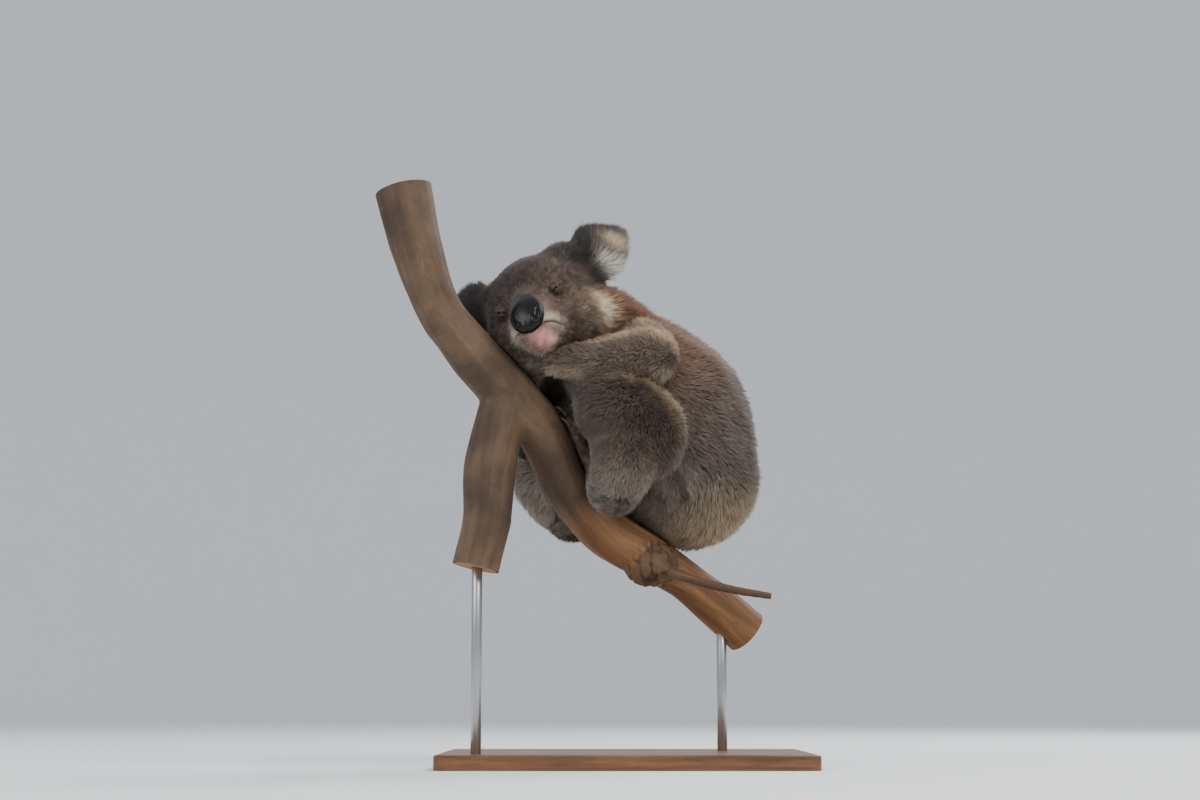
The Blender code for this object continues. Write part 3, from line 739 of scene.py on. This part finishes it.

# Markings, worked out from the same frames for the skin and for every tuft: grey-brown above,
# rust on the shoulders, cream underneath and inside the limbs, white on the throat and jaw,
# dark ears with pale hair inside, and a dappled rump. Painted light and shade go in with
# them: painted highlight in pale gold on the tops and backs of the limbs, and painted shade
# in the cheek creases and on the throat under the chin.


def marks(points, out, share, at_ear):
    """Linear colour of the coat at points, from facing, region shares and place in the frames."""
    local = in_head(points)
    f, l, u = local.T
    side = np.abs(l)
    bf, bl, bu = ((points - BODY_AT) @ BODY).T
    facing = out @ BODY
    blot = lattice_noise(points, 0.045, 11, 3)[:, None]
    speck = lattice_noise(points, 0.011, 12, 2)[:, None]

    colour = np.tile(linear(116, 103, 94), (len(points), 1))

    def paint(tone, mask):
        nonlocal colour
        colour = colour + (np.array(linear(*tone)) - colour) * np.clip(mask, 0, 1)[:, None]

    # Trunk: rust over the shoulders, grey down the back, cream belly, dappled rump.
    paint((114, 76, 56), bell((bf - 0.085, 0.090), (bu - 0.200, 0.085)) * 1.1)
    paint((126, 98, 80), bell((bf - 0.01, 0.070), (bu - 0.17, 0.07)) * 0.6)
    paint((112, 102, 96), bell((bf + 0.10, 0.08), (bu - 0.06, 0.09)) * 0.8)
    low = step(-bu, 0.000, 0.080) * step(-bf + 0.06, 0, 0.1)
    paint((190, 168, 134), low * 0.85)
    dapple = step(blot[:, 0], 0.02, 0.35) * step(-bu + 0.02, 0, 0.07)
    paint((198, 188, 172), dapple * 0.55)
    belly = step(bf, 0.055, 0.10) * step(0.11 - np.abs(bl), 0, 0.05) * step(0.17 - bu, 0, 0.04)
    paint((196, 187, 172), belly * share("trunk"))
    # Limbs: grey-brown outside, cream underneath and inside, greyer toward the paws.
    arms = share("upper_arm") + share("forearm")
    legs = share("thigh") + share("shank")
    paws = share("hand") + share("foot")
    outside = facing[:, 1] * np.sign(bl)
    paint((120, 103, 91), arms)
    paint((102, 88, 77), legs)
    paint((184, 168, 140), arms * step(-facing[:, 2], 0.25, 0.85) * 0.7)
    # Painted highlight: faces of the limbs that turn up and back are made pale gold, as where the
    # light falls on them.
    upper = step(facing[:, 2] - 0.6 * facing[:, 0], 0.25, 0.95)
    paint((202, 174, 142), (arms + legs) * upper * 0.75)
    paint((178, 165, 149), legs * step(-outside, 0.25, 0.85) * 0.7)
    # Pale fur on the backs of the legs' outer sides, made paler still as painted highlight.
    paint((160, 148, 133), legs * step(-facing[:, 0], 0.35, 0.9) * step(outside, -0.2, 0.5)
          * 0.45)
    paint((168, 156, 138), share("shank") * step(-facing[:, 2], 0, 0.8) * 0.6)
    paint((114, 100, 89), paws)
    paint((176, 164, 150), (legs + paws) * step(facing[:, 0] - 0.4 * facing[:, 2], 0.35, 0.95)
          * step(-bu, -0.02, 0.03) * np.where(bl < 0, 0.65, 0.35))
    # Head: brown-grey brow, warmer cheeks, tan about the eyes, pale lip and jaw, white ruff.
    head = share("head")
    paint((106, 88, 77), head)
    paint((134, 112, 97), head * step(side, 0.020, 0.065) * step(0.03 - u, 0, 0.05) * 0.8)
    paint((62, 49, 42), head * bell((l, 0.050), (u - 0.056, 0.044)) * step(f, -0.02, 0.03)
          * 0.82)
    paint((52, 46, 44), head * bell((side - 0.078, 0.025), (u - 0.090, 0.028)) * 1.7)
    paint((92, 74, 63), head * bell((from_pair(local, 0.060, 0.041, 0.016), 0.013)) * 0.65)
    paint((140, 115, 98), head * bell((side - 0.027, 0.009), (u + 0.010, 0.030))
          * step(f, 0.04, 0.07) * 0.65)
    paint((226, 198, 180), head * bell((side - 0.027, 0.013), (u + 0.034, 0.009))
          * step(f, 0.04, 0.06) * 0.95)
    # Painted shade: a dark band down each cheek crease, from the lip's end toward the chin.
    paint((66, 52, 44), head * bell((side - 0.052 - 0.3 * (u + 0.04), 0.009), (u + 0.045, 0.018))
          * step(f, 0.02, 0.04) * 0.6)
    paint((166, 146, 128), head * step(-u, 0.045, 0.075) * 0.7)
    ruff = bell((f - 0.005, 0.020), (side - 0.084, 0.024), (u + 0.009, 0.020)) * 1.6
    paint((272, 238, 188), ruff * (head + share("neck")))
    # Painted shade: the white throat under the chin is coloured grey-brown.
    paint((138, 118, 101), share("neck") * step(-facing[:, 2], 0.1, 0.7) * step(f, -0.03, 0.0))
    # Ears: near-black where they join the head in front, pale in the cup, frosted at the rim.
    el, eu = side - 0.105, u - 0.072
    a, b = 0.637 * el - 0.255 * eu, -0.306 * el - 0.678 * eu  # across and down the open cup
    front = step(f, -0.034, -0.016)
    low_lobe = bell((a - 0.003, 0.0105), (b - 0.012, 0.0080)) * front * (l > 0)
    top_lobe = bell((a - 0.008, 0.0115), (b + 0.007, 0.0075)) * front * (l > 0)
    paint((50, 44, 42), at_ear)
    paint((108, 95, 86), at_ear * step(-0.030 - f, 0, 0.012))
    paint((156, 146, 136), at_ear * step(np.hypot(el, eu), 0.028, 0.042) * 0.6
          * step(a, 0.0, 0.02))
    paint((178, 160, 138), at_ear * top_lobe * 1.3)
    paint((226, 216, 202), at_ear * low_lobe * 1.5)
    gap = bell((a + 0.002, 0.011), (b - 0.0025, 0.0028)) * front * (l > 0)
    paint((66, 58, 53), at_ear * gap * 0.75)
    return colour * (1.14 - 0.10 * head[:, None]) * (1 + 0.12 * blot + 0.12 * speck)


shares = {}
for word in ("head", "neck", "trunk", "upper_arm", "forearm", "hand", "thigh", "shank",
             "foot", "ear"):
    shares[word] = sharp[:, [k for k, n in enumerate(FLESH) if n.startswith(word)]].sum(1)
colour = marks(spots, normals, shares.get, shares["ear"])
under = colour * 0.62
flesh_tone = np.array(linear(202, 146, 138))
lid_tone = np.array(linear(80, 62, 52))
mouth_shade_tone = np.array(linear(88, 58, 52))
# The bare chin is pink and mottled; a bright patch a little left of its middle is painted
# highlight, and the darker rest is painted shade.
flesh = flesh_tone * np.clip(0.30 + 0.68 * bell((l - 0.016, 0.019), (u + 0.054, 0.0085))
                             + 0.34 * lattice_noise(spots, 0.007, 31, 3), 0.12, 1.1)[:, None]
under += (flesh - under) * bare_chin[:, None]
under += (lid_tone - under) * np.clip(lids * (on_head > 0.3), 0, 1)[:, None]
# Painted shade: the skin darkens in the fold above each eye and, by half as much, in the line
# under it.
under *= (1 - 0.35 * np.clip(lid_fold_shade, 0, 1))[:, None]
# Painted shade: the mouth's groove is coloured dark.
under += (mouth_shade_tone - under) * np.clip(groove * 1.1 * (on_head > 0.3), 0, 1)[:, None]
under += (np.array(linear(20, 13, 10)) - under) * np.clip(slit, 0, 1)[:, None]

skin_look = Look("skin", roughness=0.62, specular_ior_level=0.35, subsurface_weight=0.06)
skin_look.shader.inputs["Subsurface Radius"].default_value = (0.004, 0.002, 0.001)
grit = skin_look.noise(skin_look.place(), 620.0, 3.0)
tone = skin_look.attribute("marks", "Color")
skin = add_mesh("skin", spots, triangles, skin_look.set(
    base_color=tone, normal=skin_look.bump(grit, 0.35, 0.0006)))
attach(skin, "marks", np.c_[under.clip(0, 1), np.ones(len(under))])
put(skin, "fur", *FLESH)

# ------------------------------------------------------------------ nose
# The bare leather pad: a long shield, narrower at the top, with comma nostrils low at the
# sides and a short groove between them. It sits in the fur of the muzzle.
x, y, z = sphere(120, 180, 0.004)  # x is forward, so that the front is finest


def near_path(a, b, path):
    """Least distance of the points (a, b) from a path of straight pieces."""
    best = np.full(len(a), 9.0)
    for (p, q), (r, s) in zip(path, path[1:]):
        t = np.clip(((a - p) * (r - p) + (b - q) * (s - q))
                    / ((r - p) ** 2 + (s - q) ** 2), 0, 1)
        best = np.minimum(best, np.hypot(a - p - t * (r - p), b - q - t * (s - q)))
    return best


nostril = np.minimum(*(near_path(y, z, [(w * 0.46, -0.66), (w * 0.60, -0.62), (w * 0.70, -0.48),
                                         (w * 0.75, -0.32)]) for w in (1, -1)))
front = step(x, 0.0, 0.35)
hole = bell((nostril, 0.075)) * front
wing = bell((nostril - 0.17, 0.090)) * front
cleft = bell((y, 0.060)) * step(-z, 0.45, 0.80) * front
reach = np.sign(x) * np.abs(x) ** 0.80 * (1 - 0.16 * step(z, 0.2, 1.0))
rim_lift = bell((np.hypot(y, z) - 0.90, 0.10)) * step(x, 0.0, 0.2)
reach = reach - 0.26 * hole + 0.03 * wing - 0.03 * cleft + 0.03 * rim_lift
wide = y * (1 - 0.20 * step(z, -0.2, 1.0) + 0.04 * step(-z, 0.1, 0.7))
NOSE_AT, NOSE_PITCH = (0.0925, 0, -0.018), math.radians(14)
tilt_cos, tilt_sin = math.cos(NOSE_PITCH), math.sin(NOSE_PITCH)
out, aside, rise = reach * 0.013, wide * 0.0242, z * 0.0322 - 0.0006
turned = np.stack([out * tilt_cos - rise * tilt_sin, aside, out * tilt_sin + rise * tilt_cos], 1)
nose_points = (turned + NOSE_AT) @ HEAD.T + HEAD_AT
leather = Look("nose_leather", roughness=0.27, specular_ior_level=0.25)
pebble = leather.node("TexVoronoi", dict(feature="SMOOTH_F1"),
                      dict(Vector=leather.place(), Scale=900.0))
worn = leather.noise(leather.place(), 60.0, 4.0)
tone = leather.mix(worn, linear(4, 4, 6), linear(13, 12, 15))
# Painted shade: the nostrils are coloured darker than the leather.
tone = leather.mix(leather.attribute("nostril"), tone, linear(4, 3, 4))
nose = add_mesh("nose_pad", nose_points, ring_quads(120, 180), leather.set(
    base_color=tone, normal=leather.bump(pebble + worn * 0.6, 0.16, 0.0004)))
attach(nose, "nostril", np.clip(hole * 1.4, 0, 1))
put(nose, "nose", "nose")

# ------------------------------------------------------------------ eyes
# Glass eyes of life size, all but closed: amber-brown with a dark pupil and a wet clear
# front. Only a sliver shows between the lids.
amber = Look("eye_glass", roughness=0.16, coat_weight=0.05, coat_roughness=0.05,
             specular_ior_level=0.3)
ring = amber.attribute("eye_out")
tone = amber.ramp(ring, (0.0, linear(6, 4, 3)), (0.30, linear(10, 6, 4)),
                  (0.36, linear(66, 36, 18)), (0.62, linear(48, 26, 14)),
                  (0.74, linear(22, 13, 9)), (1.0, linear(30, 20, 16)))
amber.set(base_color=tone)
for name, way in (("left", 1), ("right", -1)):
    look = unit(EYE_LOOK * (1, way, 1))
    lean = unit(np.cross(look, (0, 0, 1.0)))
    ground = np.cross(look, lean)
    cap, e1, e2 = sphere(40, 56, 0.01)
    bulge = EYE_RADIUS * (1 + 0.05 * step(cap, 0.75, 1.0))
    ball = (look * cap[:, None] + lean * e1[:, None] + ground * e2[:, None]) * bulge[:, None]
    eye = add_mesh("eyeball_" + name, (ball + EYE_AT * (1, way, 1)) @ HEAD.T + HEAD_AT,
                   ring_quads(40, 56)[:, TURNED], amber.material)
    attach(eye, "eye_out", (np.arccos(np.clip(cap, -1, 1)) / 1.2).clip(0, 1))
    put(eye, "eyes", "eye_" + name)

# ------------------------------------------------------------------ claws
# Long curved horn, dark brown mottled with paler brown, one piece to each paw. Each is the
# CAD's own claw, made round.
horn = Look("claw_horn", roughness=0.32, specular_ior_level=0.5)
lines_on = horn.noise(horn.place(), 300.0, 4.0)
horn.set(base_color=horn.mix(lines_on, linear(40, 34, 30), linear(86, 74, 62)))
for paw in ("hand_left", "hand_right", "foot_left", "foot_right"):
    names = sorted(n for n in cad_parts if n.startswith("claw_" + paw))
    parts = []
    for name in names:
        bm = cad_solid(name)
        bmesh.ops.dissolve_limit(bm, angle_limit=0.02, verts=bm.verts, edges=bm.edges)
        mesh = bpy.data.meshes.new("claw")
        bm.to_mesh(mesh)
        bm.free()
        rough = bpy.data.objects.new("claw", mesh)
        bpy.context.scene.collection.objects.link(rough)
        curve = rough.modifiers.new("round", "SUBSURF")
        curve.levels = curve.render_levels = 2
        shaped = rough.evaluated_get(bpy.context.evaluated_depsgraph_get()).to_mesh()
        points = np.array([v.co for v in shaped.vertices])
        shaped.calc_loop_triangles()
        faces = np.array([t.vertices[:] for t in shaped.loop_triangles])
        middle = points.mean(0)
        parts.append((middle + (points - middle) * 1.04, faces))
        bpy.data.objects.remove(rough)
    put(add_mesh("claws_" + paw, *joined(parts), horn.material), "claws", *names)

# ------------------------------------------------------------------ coat
# The fur: thousands of small pointed locks rooted in the skin and leaning the way the coat
# lies, from the nose back over the head, down the spine and out along the limbs. It is woolly
# and gathers in clumps on the body, is short and close on the face and long on the ears.
rng = np.random.default_rng(7)
MOST_FINE_LOCKS, MOST_BENT_LOCKS = 62000, 21800  # of 3 and 9 triangles: under 200,000 a piece
ROOT_DEPTH = 0.0012  # how far below the skin a lock starts
CLEARANCE = 0.0010  # the least gap between a lock and the bark
LIDS_AT = np.array((0.060, 0.041, 0.017))  # middle of the left lids in the head's frame
PATCH = 0.003  # width of a lock's patch on the OFBake map


def safe_unit(vectors):
    """Vectors over their length plus a nanometre, so that a zero stays zero."""
    return vectors / (np.linalg.norm(vectors, axis=-1, keepdims=True) + 1e-9)


def on_body(*joint):
    return BODY @ np.array(joint) + BODY_AT


# Shoulder, elbow, wrist, hip, knee and ankle in the body's frame.
JOINTS = {"left": ((.094, .058, .146), (.102, .104, .137), (.222, .036, .130), (0, .088, 0),
                   (.121, .098, .070), (.136, .072, -.040)),
          "right": ((.092, -.058, .142), (.110, -.112, .090), (.197, -.072, .090),
                    (-.004, -.088, -.012), (.124, -.100, -.012), (.108, -.084, -.062))}

# Lie of the coat at every point of the skin: each region's own course, blended at the seams.
lie = np.zeros_like(spots)
local = in_head(spots)
f, l, u = local.T
body = (spots - BODY_AT) @ BODY
for index, name in enumerate(FLESH):
    part, _, hand = name.rpartition("_") if "_" in name else (name, "", "")
    if part in ("upper_arm", "forearm", "thigh", "shank", "hand", "foot"):
        shoulder, elbow, wrist, hip, knee, ankle = (on_body(*j) for j in JOINTS[hand])
        palm, sole = (np.mean(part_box(n + hand), axis=0) for n in ("hand_", "foot_"))
        ends = {"upper_arm": (shoulder, elbow), "forearm": (elbow, wrist),
                "hand": (wrist, palm), "thigh": (hip, knee), "shank": (knee, ankle),
                "foot": (ankle, sole)}[part]
        course = np.tile(ends[1] - ends[0], (len(spots), 1))
        if part == "thigh":
            down = step((spots - hip) @ (knee - hip) / ((knee - hip) @ (knee - hip)), 0.05, 0.6)
            course = (safe_unit(course) * 0.8 - (0, 0, 0.95)) * down[:, None] \
                + (BODY @ np.array((-0.42, 0, -0.90))) * (1 - down[:, None])
        elif part == "upper_arm":
            course = np.tile(BODY @ np.array((0.5, 0, -0.85)), (len(spots), 1))
    elif part == "ear":
        course = spots - (HEAD @ (-0.012, 0.060 if hand == "left" else -0.060, 0.064) + HEAD_AT)
    elif name == "head":
        course = np.stack([-0.35 - 2.0 * np.abs(f - 0.10), l * 9.0, (u + 0.02) * 7.0], 1)
        course[:, 2] -= 0.55 * step(np.abs(l), 0.045, 0.08)
        course = course @ HEAD.T
    elif name == "neck":
        course = np.tile(BODY @ np.array((-0.75, 0, -0.35)), (len(spots), 1))
    else:
        from_middle = body - (0.045, 0, 0.010)
        course = np.stack([-from_middle[:, 2], body[:, 1] * 0.25, from_middle[:, 0]], 1)
        away = step(np.hypot(from_middle[:, 0], from_middle[:, 2]), 0.02, 0.09)
        course = safe_unit(course) * away[:, None] + (-0.30, 0, -0.65)
        course = course @ BODY.T
    lie += safe_unit(course) * soft[:, [index]]
for way in (1, -1):  # the fur parts round each eye
    off = local - LIDS_AT * (1, way, 1)
    close = bell((np.linalg.norm(off, axis=1), 0.015)) * (on_head > 0.3)
    lie += safe_unit(off) @ HEAD.T * (close * 1.6)[:, None]
lie -= normals * (lie * normals).sum(1)[:, None]
sure = np.linalg.norm(lie, axis=1) ** 3 * step(soft.max(1), 0.75, 1.0)
on_paw = shares["hand"] + shares["foot"]
sure = np.clip(sure * (0.22 + 0.2 * limbs + 0.5 * on_head + 0.4 * on_paw), 0, 1)
wish = safe_unit(lie)
lie = wish.copy()
for _ in range(30):
    lie = relax(lie, edges, 5)
    lie -= normals * (lie * normals).sum(1)[:, None]
    lie = safe_unit(lie)
    lie = safe_unit(lie + (wish - lie) * sure[:, None])

# How the fur grows at every point: spacing in metres, length as a multiple of what fills the
# coat's depth, a lock's width in metres and its lean from the skin in degrees.
growth = {"head": (0.00094, 1.02, 0.00068, 56), "ear": (0.00122, 1.00, 0.00076, 36),
          "neck": (0.00125, 1.06, 0.00092, 58), "trunk": (0.00188, 1.08, 0.00122, 59),
          "upper": (0.00165, 1.08, 0.00108, 58), "forearm": (0.00160, 1.08, 0.00104, 56),
          "hand": (0.00090, 1.15, 0.00064, 38), "thigh": (0.00158, 1.08, 0.00106, 59),
          "shank": (0.00152, 1.08, 0.00102, 56), "foot": (0.00092, 1.15, 0.00066, 38)}
spacing, longer, width, lean = (soft @ np.array(c) for c in zip(*by_flesh(growth)))
eye_gap = from_pair(local, *LIDS_AT)
chin_hair = bell((l - 0.0085, 0.038), (u + 0.0565, 0.020)) * step(f, 0.040, 0.060) * on_head
near_face = on_head * step(f, 0.000, 0.040)
near_muzzle = on_head * step(f, 0.045, 0.070) * step(0.030 - u, 0, 0.02)
spacing = spacing * (1 - 0.24 * near_face - 0.16 * near_muzzle)
width = width * (1 - 0.24 * near_face - 0.18 * near_muzzle)
coat = depth * longer * (1 - 0.42 * near_face * bell((eye_gap, 0.013))) * (1 - 0.45 * chin_hair)
fringe = shares["ear"]
root_far = np.hypot(np.abs(l) - 0.070, u - 0.066)
cup_hair = step(np.abs(l) - 0.098 + 0.2 * (u - 0.084), -0.032, -0.008) * step(f, -0.034, -0.018)
ear_coat = 0.56 * (0.015 + 0.62 * np.clip(0.058 - root_far, 0, 1) * cup_hair)
ear_coat = ear_coat * np.where(l > 0, 1, 0.8)
coat = coat + (ear_coat - coat) * np.clip(fringe * 1.2, 0, 1)
keep = np.clip(1 - 1.2 * np.clip(lids, 0, 1) - 0.97 * bare_chin - groove * (on_head > 0.3), 0, 1)
keep *= 1 - step(0.99 - np.hypot(l / 0.0240, (u + 0.018) / 0.0312), 0, 0.06) * step(f, .06, .07)
fur_colour = marks(spots, normals, shares.get, shares["ear"])
fur_colour += (np.array(linear(205, 182, 164)) - fur_colour) * np.clip(
    1.25 * chin_hair - 0.15, 0, 1)[:, None]

skin_tree = BVHTree.FromPolygons(spots.tolist(), triangles.tolist())
centre = spots[triangles].mean(1)
corner = spots[triangles]
area = np.linalg.norm(np.cross(corner[:, 1] - corner[:, 0], corner[:, 2] - corner[:, 0]),
                      axis=1) / 2
region = sharp[triangles].sum(1).argmax(1)
forward = in_head(centre)[:, 0]
leftward = ((centre - BODY_AT) @ BODY)[:, 1]
owner = np.full(len(triangles), "", dtype="U24")
for index, name in enumerate(FLESH):
    here, kind = region == index, name.split("_")[0]
    if name == "head":
        owner[here] = np.where(forward > 0.018, "face", "crown")[here]
    elif name == "trunk":
        owner[here] = np.where(leftward > 0, "flank_left", "flank_right")[here]
    elif kind in ("thigh", "shank"):
        owner[here] = "leg_" + name.split("_")[1]
    else:
        owner[here] = {"neck": "crown", "ear": "ears", "upper": "arms", "forearm": "arms",
                       "hand": "paws", "foot": "paws"}[kind]


def unwrapped(piece):
    """Each triangle's corners on an unwrap of that part of the skin: (triangles, 3, 2)."""
    used, index = np.unique(piece, return_inverse=True)
    sheet = add_mesh("unwrap", spots[used], index.reshape(-1, 3), None)
    sheet.data.uv_layers.new(name="flat")
    for other in bpy.context.selected_objects:
        other.select_set(False)
    sheet.select_set(True)
    bpy.context.view_layer.objects.active = sheet
    bpy.ops.object.mode_set(mode="EDIT")
    bpy.ops.mesh.select_all(action="SELECT")
    bpy.ops.uv.smart_project(angle_limit=math.radians(66), island_margin=0.004)
    bpy.ops.object.mode_set(mode="OBJECT")
    flat = np.empty(len(piece) * 6, np.float32)
    sheet.data.uv_layers["flat"].data.foreach_get("uv", flat)
    bpy.data.objects.remove(sheet)
    return flat.reshape(-1, 3, 2)


def clear_of_perch(points):
    """Distance of each point from the bark, by the nearest rounds of the branch."""
    best = np.full(len(points), 9.0)
    for x, y, z, r in lines:
        best = np.minimum(best, np.linalg.norm(points - (x, y, z), axis=1) - r)
    return np.minimum(best, np.linalg.norm((points - KNOT) / (1.09, 1, 0.94), axis=1) - 0.035)


fur = Look("fur", roughness=0.68, specular_ior_level=0.22, sheen_weight=0.08,
           sheen_roughness=0.5)
strand = fur.noise(fur.place(), 900.0, 2.0)
tone = fur.mix(strand * 0.35, fur.attribute("marks", "Color"), (0.02, 0.016, 0.013))
fur_look = fur.set(base_color=tone)


def coat_piece(name, fine, most):
    """Grows one piece of the coat over the triangles that it owns."""
    mine = np.flatnonzero(owner == name)
    piece = triangles[mine]
    flat = unwrapped(piece)
    hairs = area[mine] / spacing[piece].mean(1) ** 2
    total = min(int(hairs.sum()), most)
    ladder = np.cumsum(hairs) / hairs.sum()
    chosen = np.searchsorted(ladder, (np.arange(total) + rng.random(total)) / total)
    chosen = np.minimum(chosen, len(mine) - 1)
    a, b = rng.random(total), rng.random(total)
    a, b = np.where(a + b > 1, 1 - a, a), np.where(a + b > 1, 1 - b, b)
    bary = np.stack([1 - a - b, a, b], 1)

    def at(values):
        return (values[piece[chosen]] * bary.reshape(total, 3, *[1] * (values.ndim - 1))).sum(1)

    root, out, way = at(spots), safe_unit(at(normals)), at(lie)
    length = at(coat) / np.sin(np.radians(at(lean)))
    wide, slope, tint = at(width), np.radians(at(lean)), at(fur_colour)
    grain = lattice_noise(root, 0.0055, 33, 2) * (0.60 if fine else 0.26)
    tint = tint * (1 + grain - 0.04)[:, None]
    stay = rng.random(total) < at(keep)
    uv = (flat[chosen] * bary[:, :, None]).sum(1)
    long_ear = at(fringe)
    on_face = at(near_face)

    # Gusts turn neighbouring locks together; each also strays a little by itself.
    gust = lattice_noise(root, 0.035, 21, 2) * 0.55 * (1 - 0.6 * on_face)
    turn = gust + rng.normal(0, 0.17, total) * (1 + 0.6 * long_ear)
    way = safe_unit(way - out * (way * out).sum(1)[:, None])
    way = way * np.cos(turn)[:, None] + np.cross(out, way) * np.sin(turn)[:, None]
    lift = lattice_noise(root, 0.020, 22, 2) * 0.16 + rng.normal(0, 0.09, total)
    steep = np.clip(slope + lift, 0.12, 1.25)
    length = length * np.clip(rng.normal(0.98, 0.13, total), 0.55, 1.35)

    def along(angle):
        return way * np.cos(angle)[:, None] + out * np.sin(angle)[:, None]

    mid = root + along(steep + 0.16) * (length * 0.50)[:, None]
    tip = mid + along(steep - 0.17) * (length * 0.53)[:, None]

    # Clumps: the points of nearby locks draw together over a few millimetres.
    count = max(total // (18 if fine else 8), 1)
    heads = rng.choice(total, count, replace=False)
    find = tree_of(root[heads])
    home = heads[np.array([find.find(p)[1] for p in root])]
    pull = (0.36 + 0.06 * fine - 0.06 * long_ear) * rng.uniform(0.5, 1.1, total)
    apart = np.linalg.norm(root - root[home], axis=1)
    pull = pull * (apart < length * 0.7)
    # Painted light and shade: each woolly grain of the short fur is lighter in its middle and
    # darker about its edge.
    if fine:  # the short fur stands in woolly grains, each dark about its edge
        edge = apart / np.median(apart)
        grade = np.clip(rng.normal(1, 0.17, total)[home], 0.6, 1.5)
        tint = tint * (np.clip(1.30 - 0.28 * edge, 0.5, 1.3) * grade)[:, None]
    tip = tip + (tip[home] - tip) * pull[:, None]
    mid = mid + (mid[home] - mid) * (pull * 0.30)[:, None]

    # A lock that would run into the branch or into other skin is cut short or left out.
    start = root - out * ROOT_DEPTH
    cut = np.ones(total)
    far_tip, far_mid = clear_of_perch(tip), clear_of_perch(mid)
    far_tip = np.minimum(far_tip, clear_of_perch((tip + mid) / 2))
    cut[far_tip < CLEARANCE] = 0.62
    stay &= ~((far_mid < 0.6 * CLEARANCE) | (clear_of_perch(root) < CLEARANCE))
    for k in range(total):
        ray = tip[k] - root[k]
        reach = float(np.linalg.norm(ray))
        hit = skin_tree.ray_cast(Vector(root[k] + out[k] * ROOT_DEPTH), Vector(ray / reach), reach)
        if hit[3] is not None and hit[3] < reach:
            cut[k] = min(cut[k], max(hit[3] / reach * 0.9, 0.3))
    tip = root + (tip - root) * cut[:, None]
    mid = root + (mid - root) * cut[:, None]

    # Three sides, a root ring, a ring half way and a point: nine triangles to a lock. The
    # finest locks, on the head and paws, go straight to the point with three.
    axis = safe_unit(mid - start)
    across = safe_unit(np.cross(out, axis))
    upward = np.cross(axis, across)
    wide = wide * rng.uniform(0.75, 1.25, total)
    rings = []
    for place, size in ((start, 0.85), (mid, 1.0)):
        for angle in (90, 210, 330):
            c, s = math.cos(math.radians(angle)), math.sin(math.radians(angle))
            rings.append(place + (across * c * 0.62 + upward * s * 0.42)
                         * (wide * size)[:, None])
    bent = np.array([(0, 1, 4), (0, 4, 3), (1, 2, 5), (1, 5, 4), (2, 0, 3), (2, 3, 5),
                     (3, 4, 6), (4, 5, 6), (5, 3, 6)])
    straight = np.array([(0, 1, 3), (1, 2, 3), (2, 0, 3)])
    lock, kept = (straight, [0, 1, 2, 6]) if fine else (bent, range(7))
    points = np.stack([*rings, tip], 1)[stay][:, kept]
    count, each = points.shape[:2]
    faces = (lock[None] + np.arange(count)[:, None, None] * each).reshape(-1, 3)
    made = add_mesh("coat_" + name, points.reshape(-1, 3), faces, fur_look)

    # Light falls on the coat as on a soft pile: each corner's normal leans to the skin's.
    own = vertex_normals(points.reshape(-1, 3), faces)
    pile = np.repeat(safe_unit(out + 0.35 * way)[stay], each, axis=0)
    made.data.normals_split_custom_set_from_vertices(safe_unit(own * 0.55 + pile * 0.70).tolist())

    # Agouti: each lock is dark at the root and banded pale or dark toward its point.
    pale = rng.random(total)
    band = np.where(pale > 0.64, 1.45, np.where(pale > 0.22, 1.06, 0.70))
    band = 1 + (band - 1) * (1 - 0.55 * long_ear + 0.5 * on_face)
    vary = np.clip(rng.normal(1, 0.10, total), 0.7, 1.35)
    vary = vary * (1 + (band - 1) * 0.35 * on_face)
    low = (0.42 if fine else 0.62) * vary
    shade = np.stack([*[tint * low[:, None]] * 3, *[tint * (0.93 * vary)[:, None]] * 3,
                      tint * (band * vary)[:, None]], 1)[stay][:, kept]
    shade = shade.reshape(-1, 3).clip(0, 1)
    attach(made, "marks", np.c_[shade, np.ones(len(shade))])
    spread = np.array([(0, 0), (0.5, 0), (1, 0), (0, 0.5), (0.5, 0.5), (1, 0.5), (0.5, 1)])
    spread = spread[kept] * PATCH
    patch = uv[stay][:, None] - PATCH / 2 + spread[None]
    sheet = made.data.uv_layers.new(name="OFBake")
    sheet.data.foreach_set("uv", patch.reshape(-1, 2)[faces.ravel()].astype(np.float32).ravel())
    put(made, "ear_fur" if name == "ears" else "fur")


for name in sorted(set(owner)):
    fine = name in ("face", "crown", "paws")
    coat_piece(name, fine, MOST_FINE_LOCKS if fine else MOST_BENT_LOCKS)
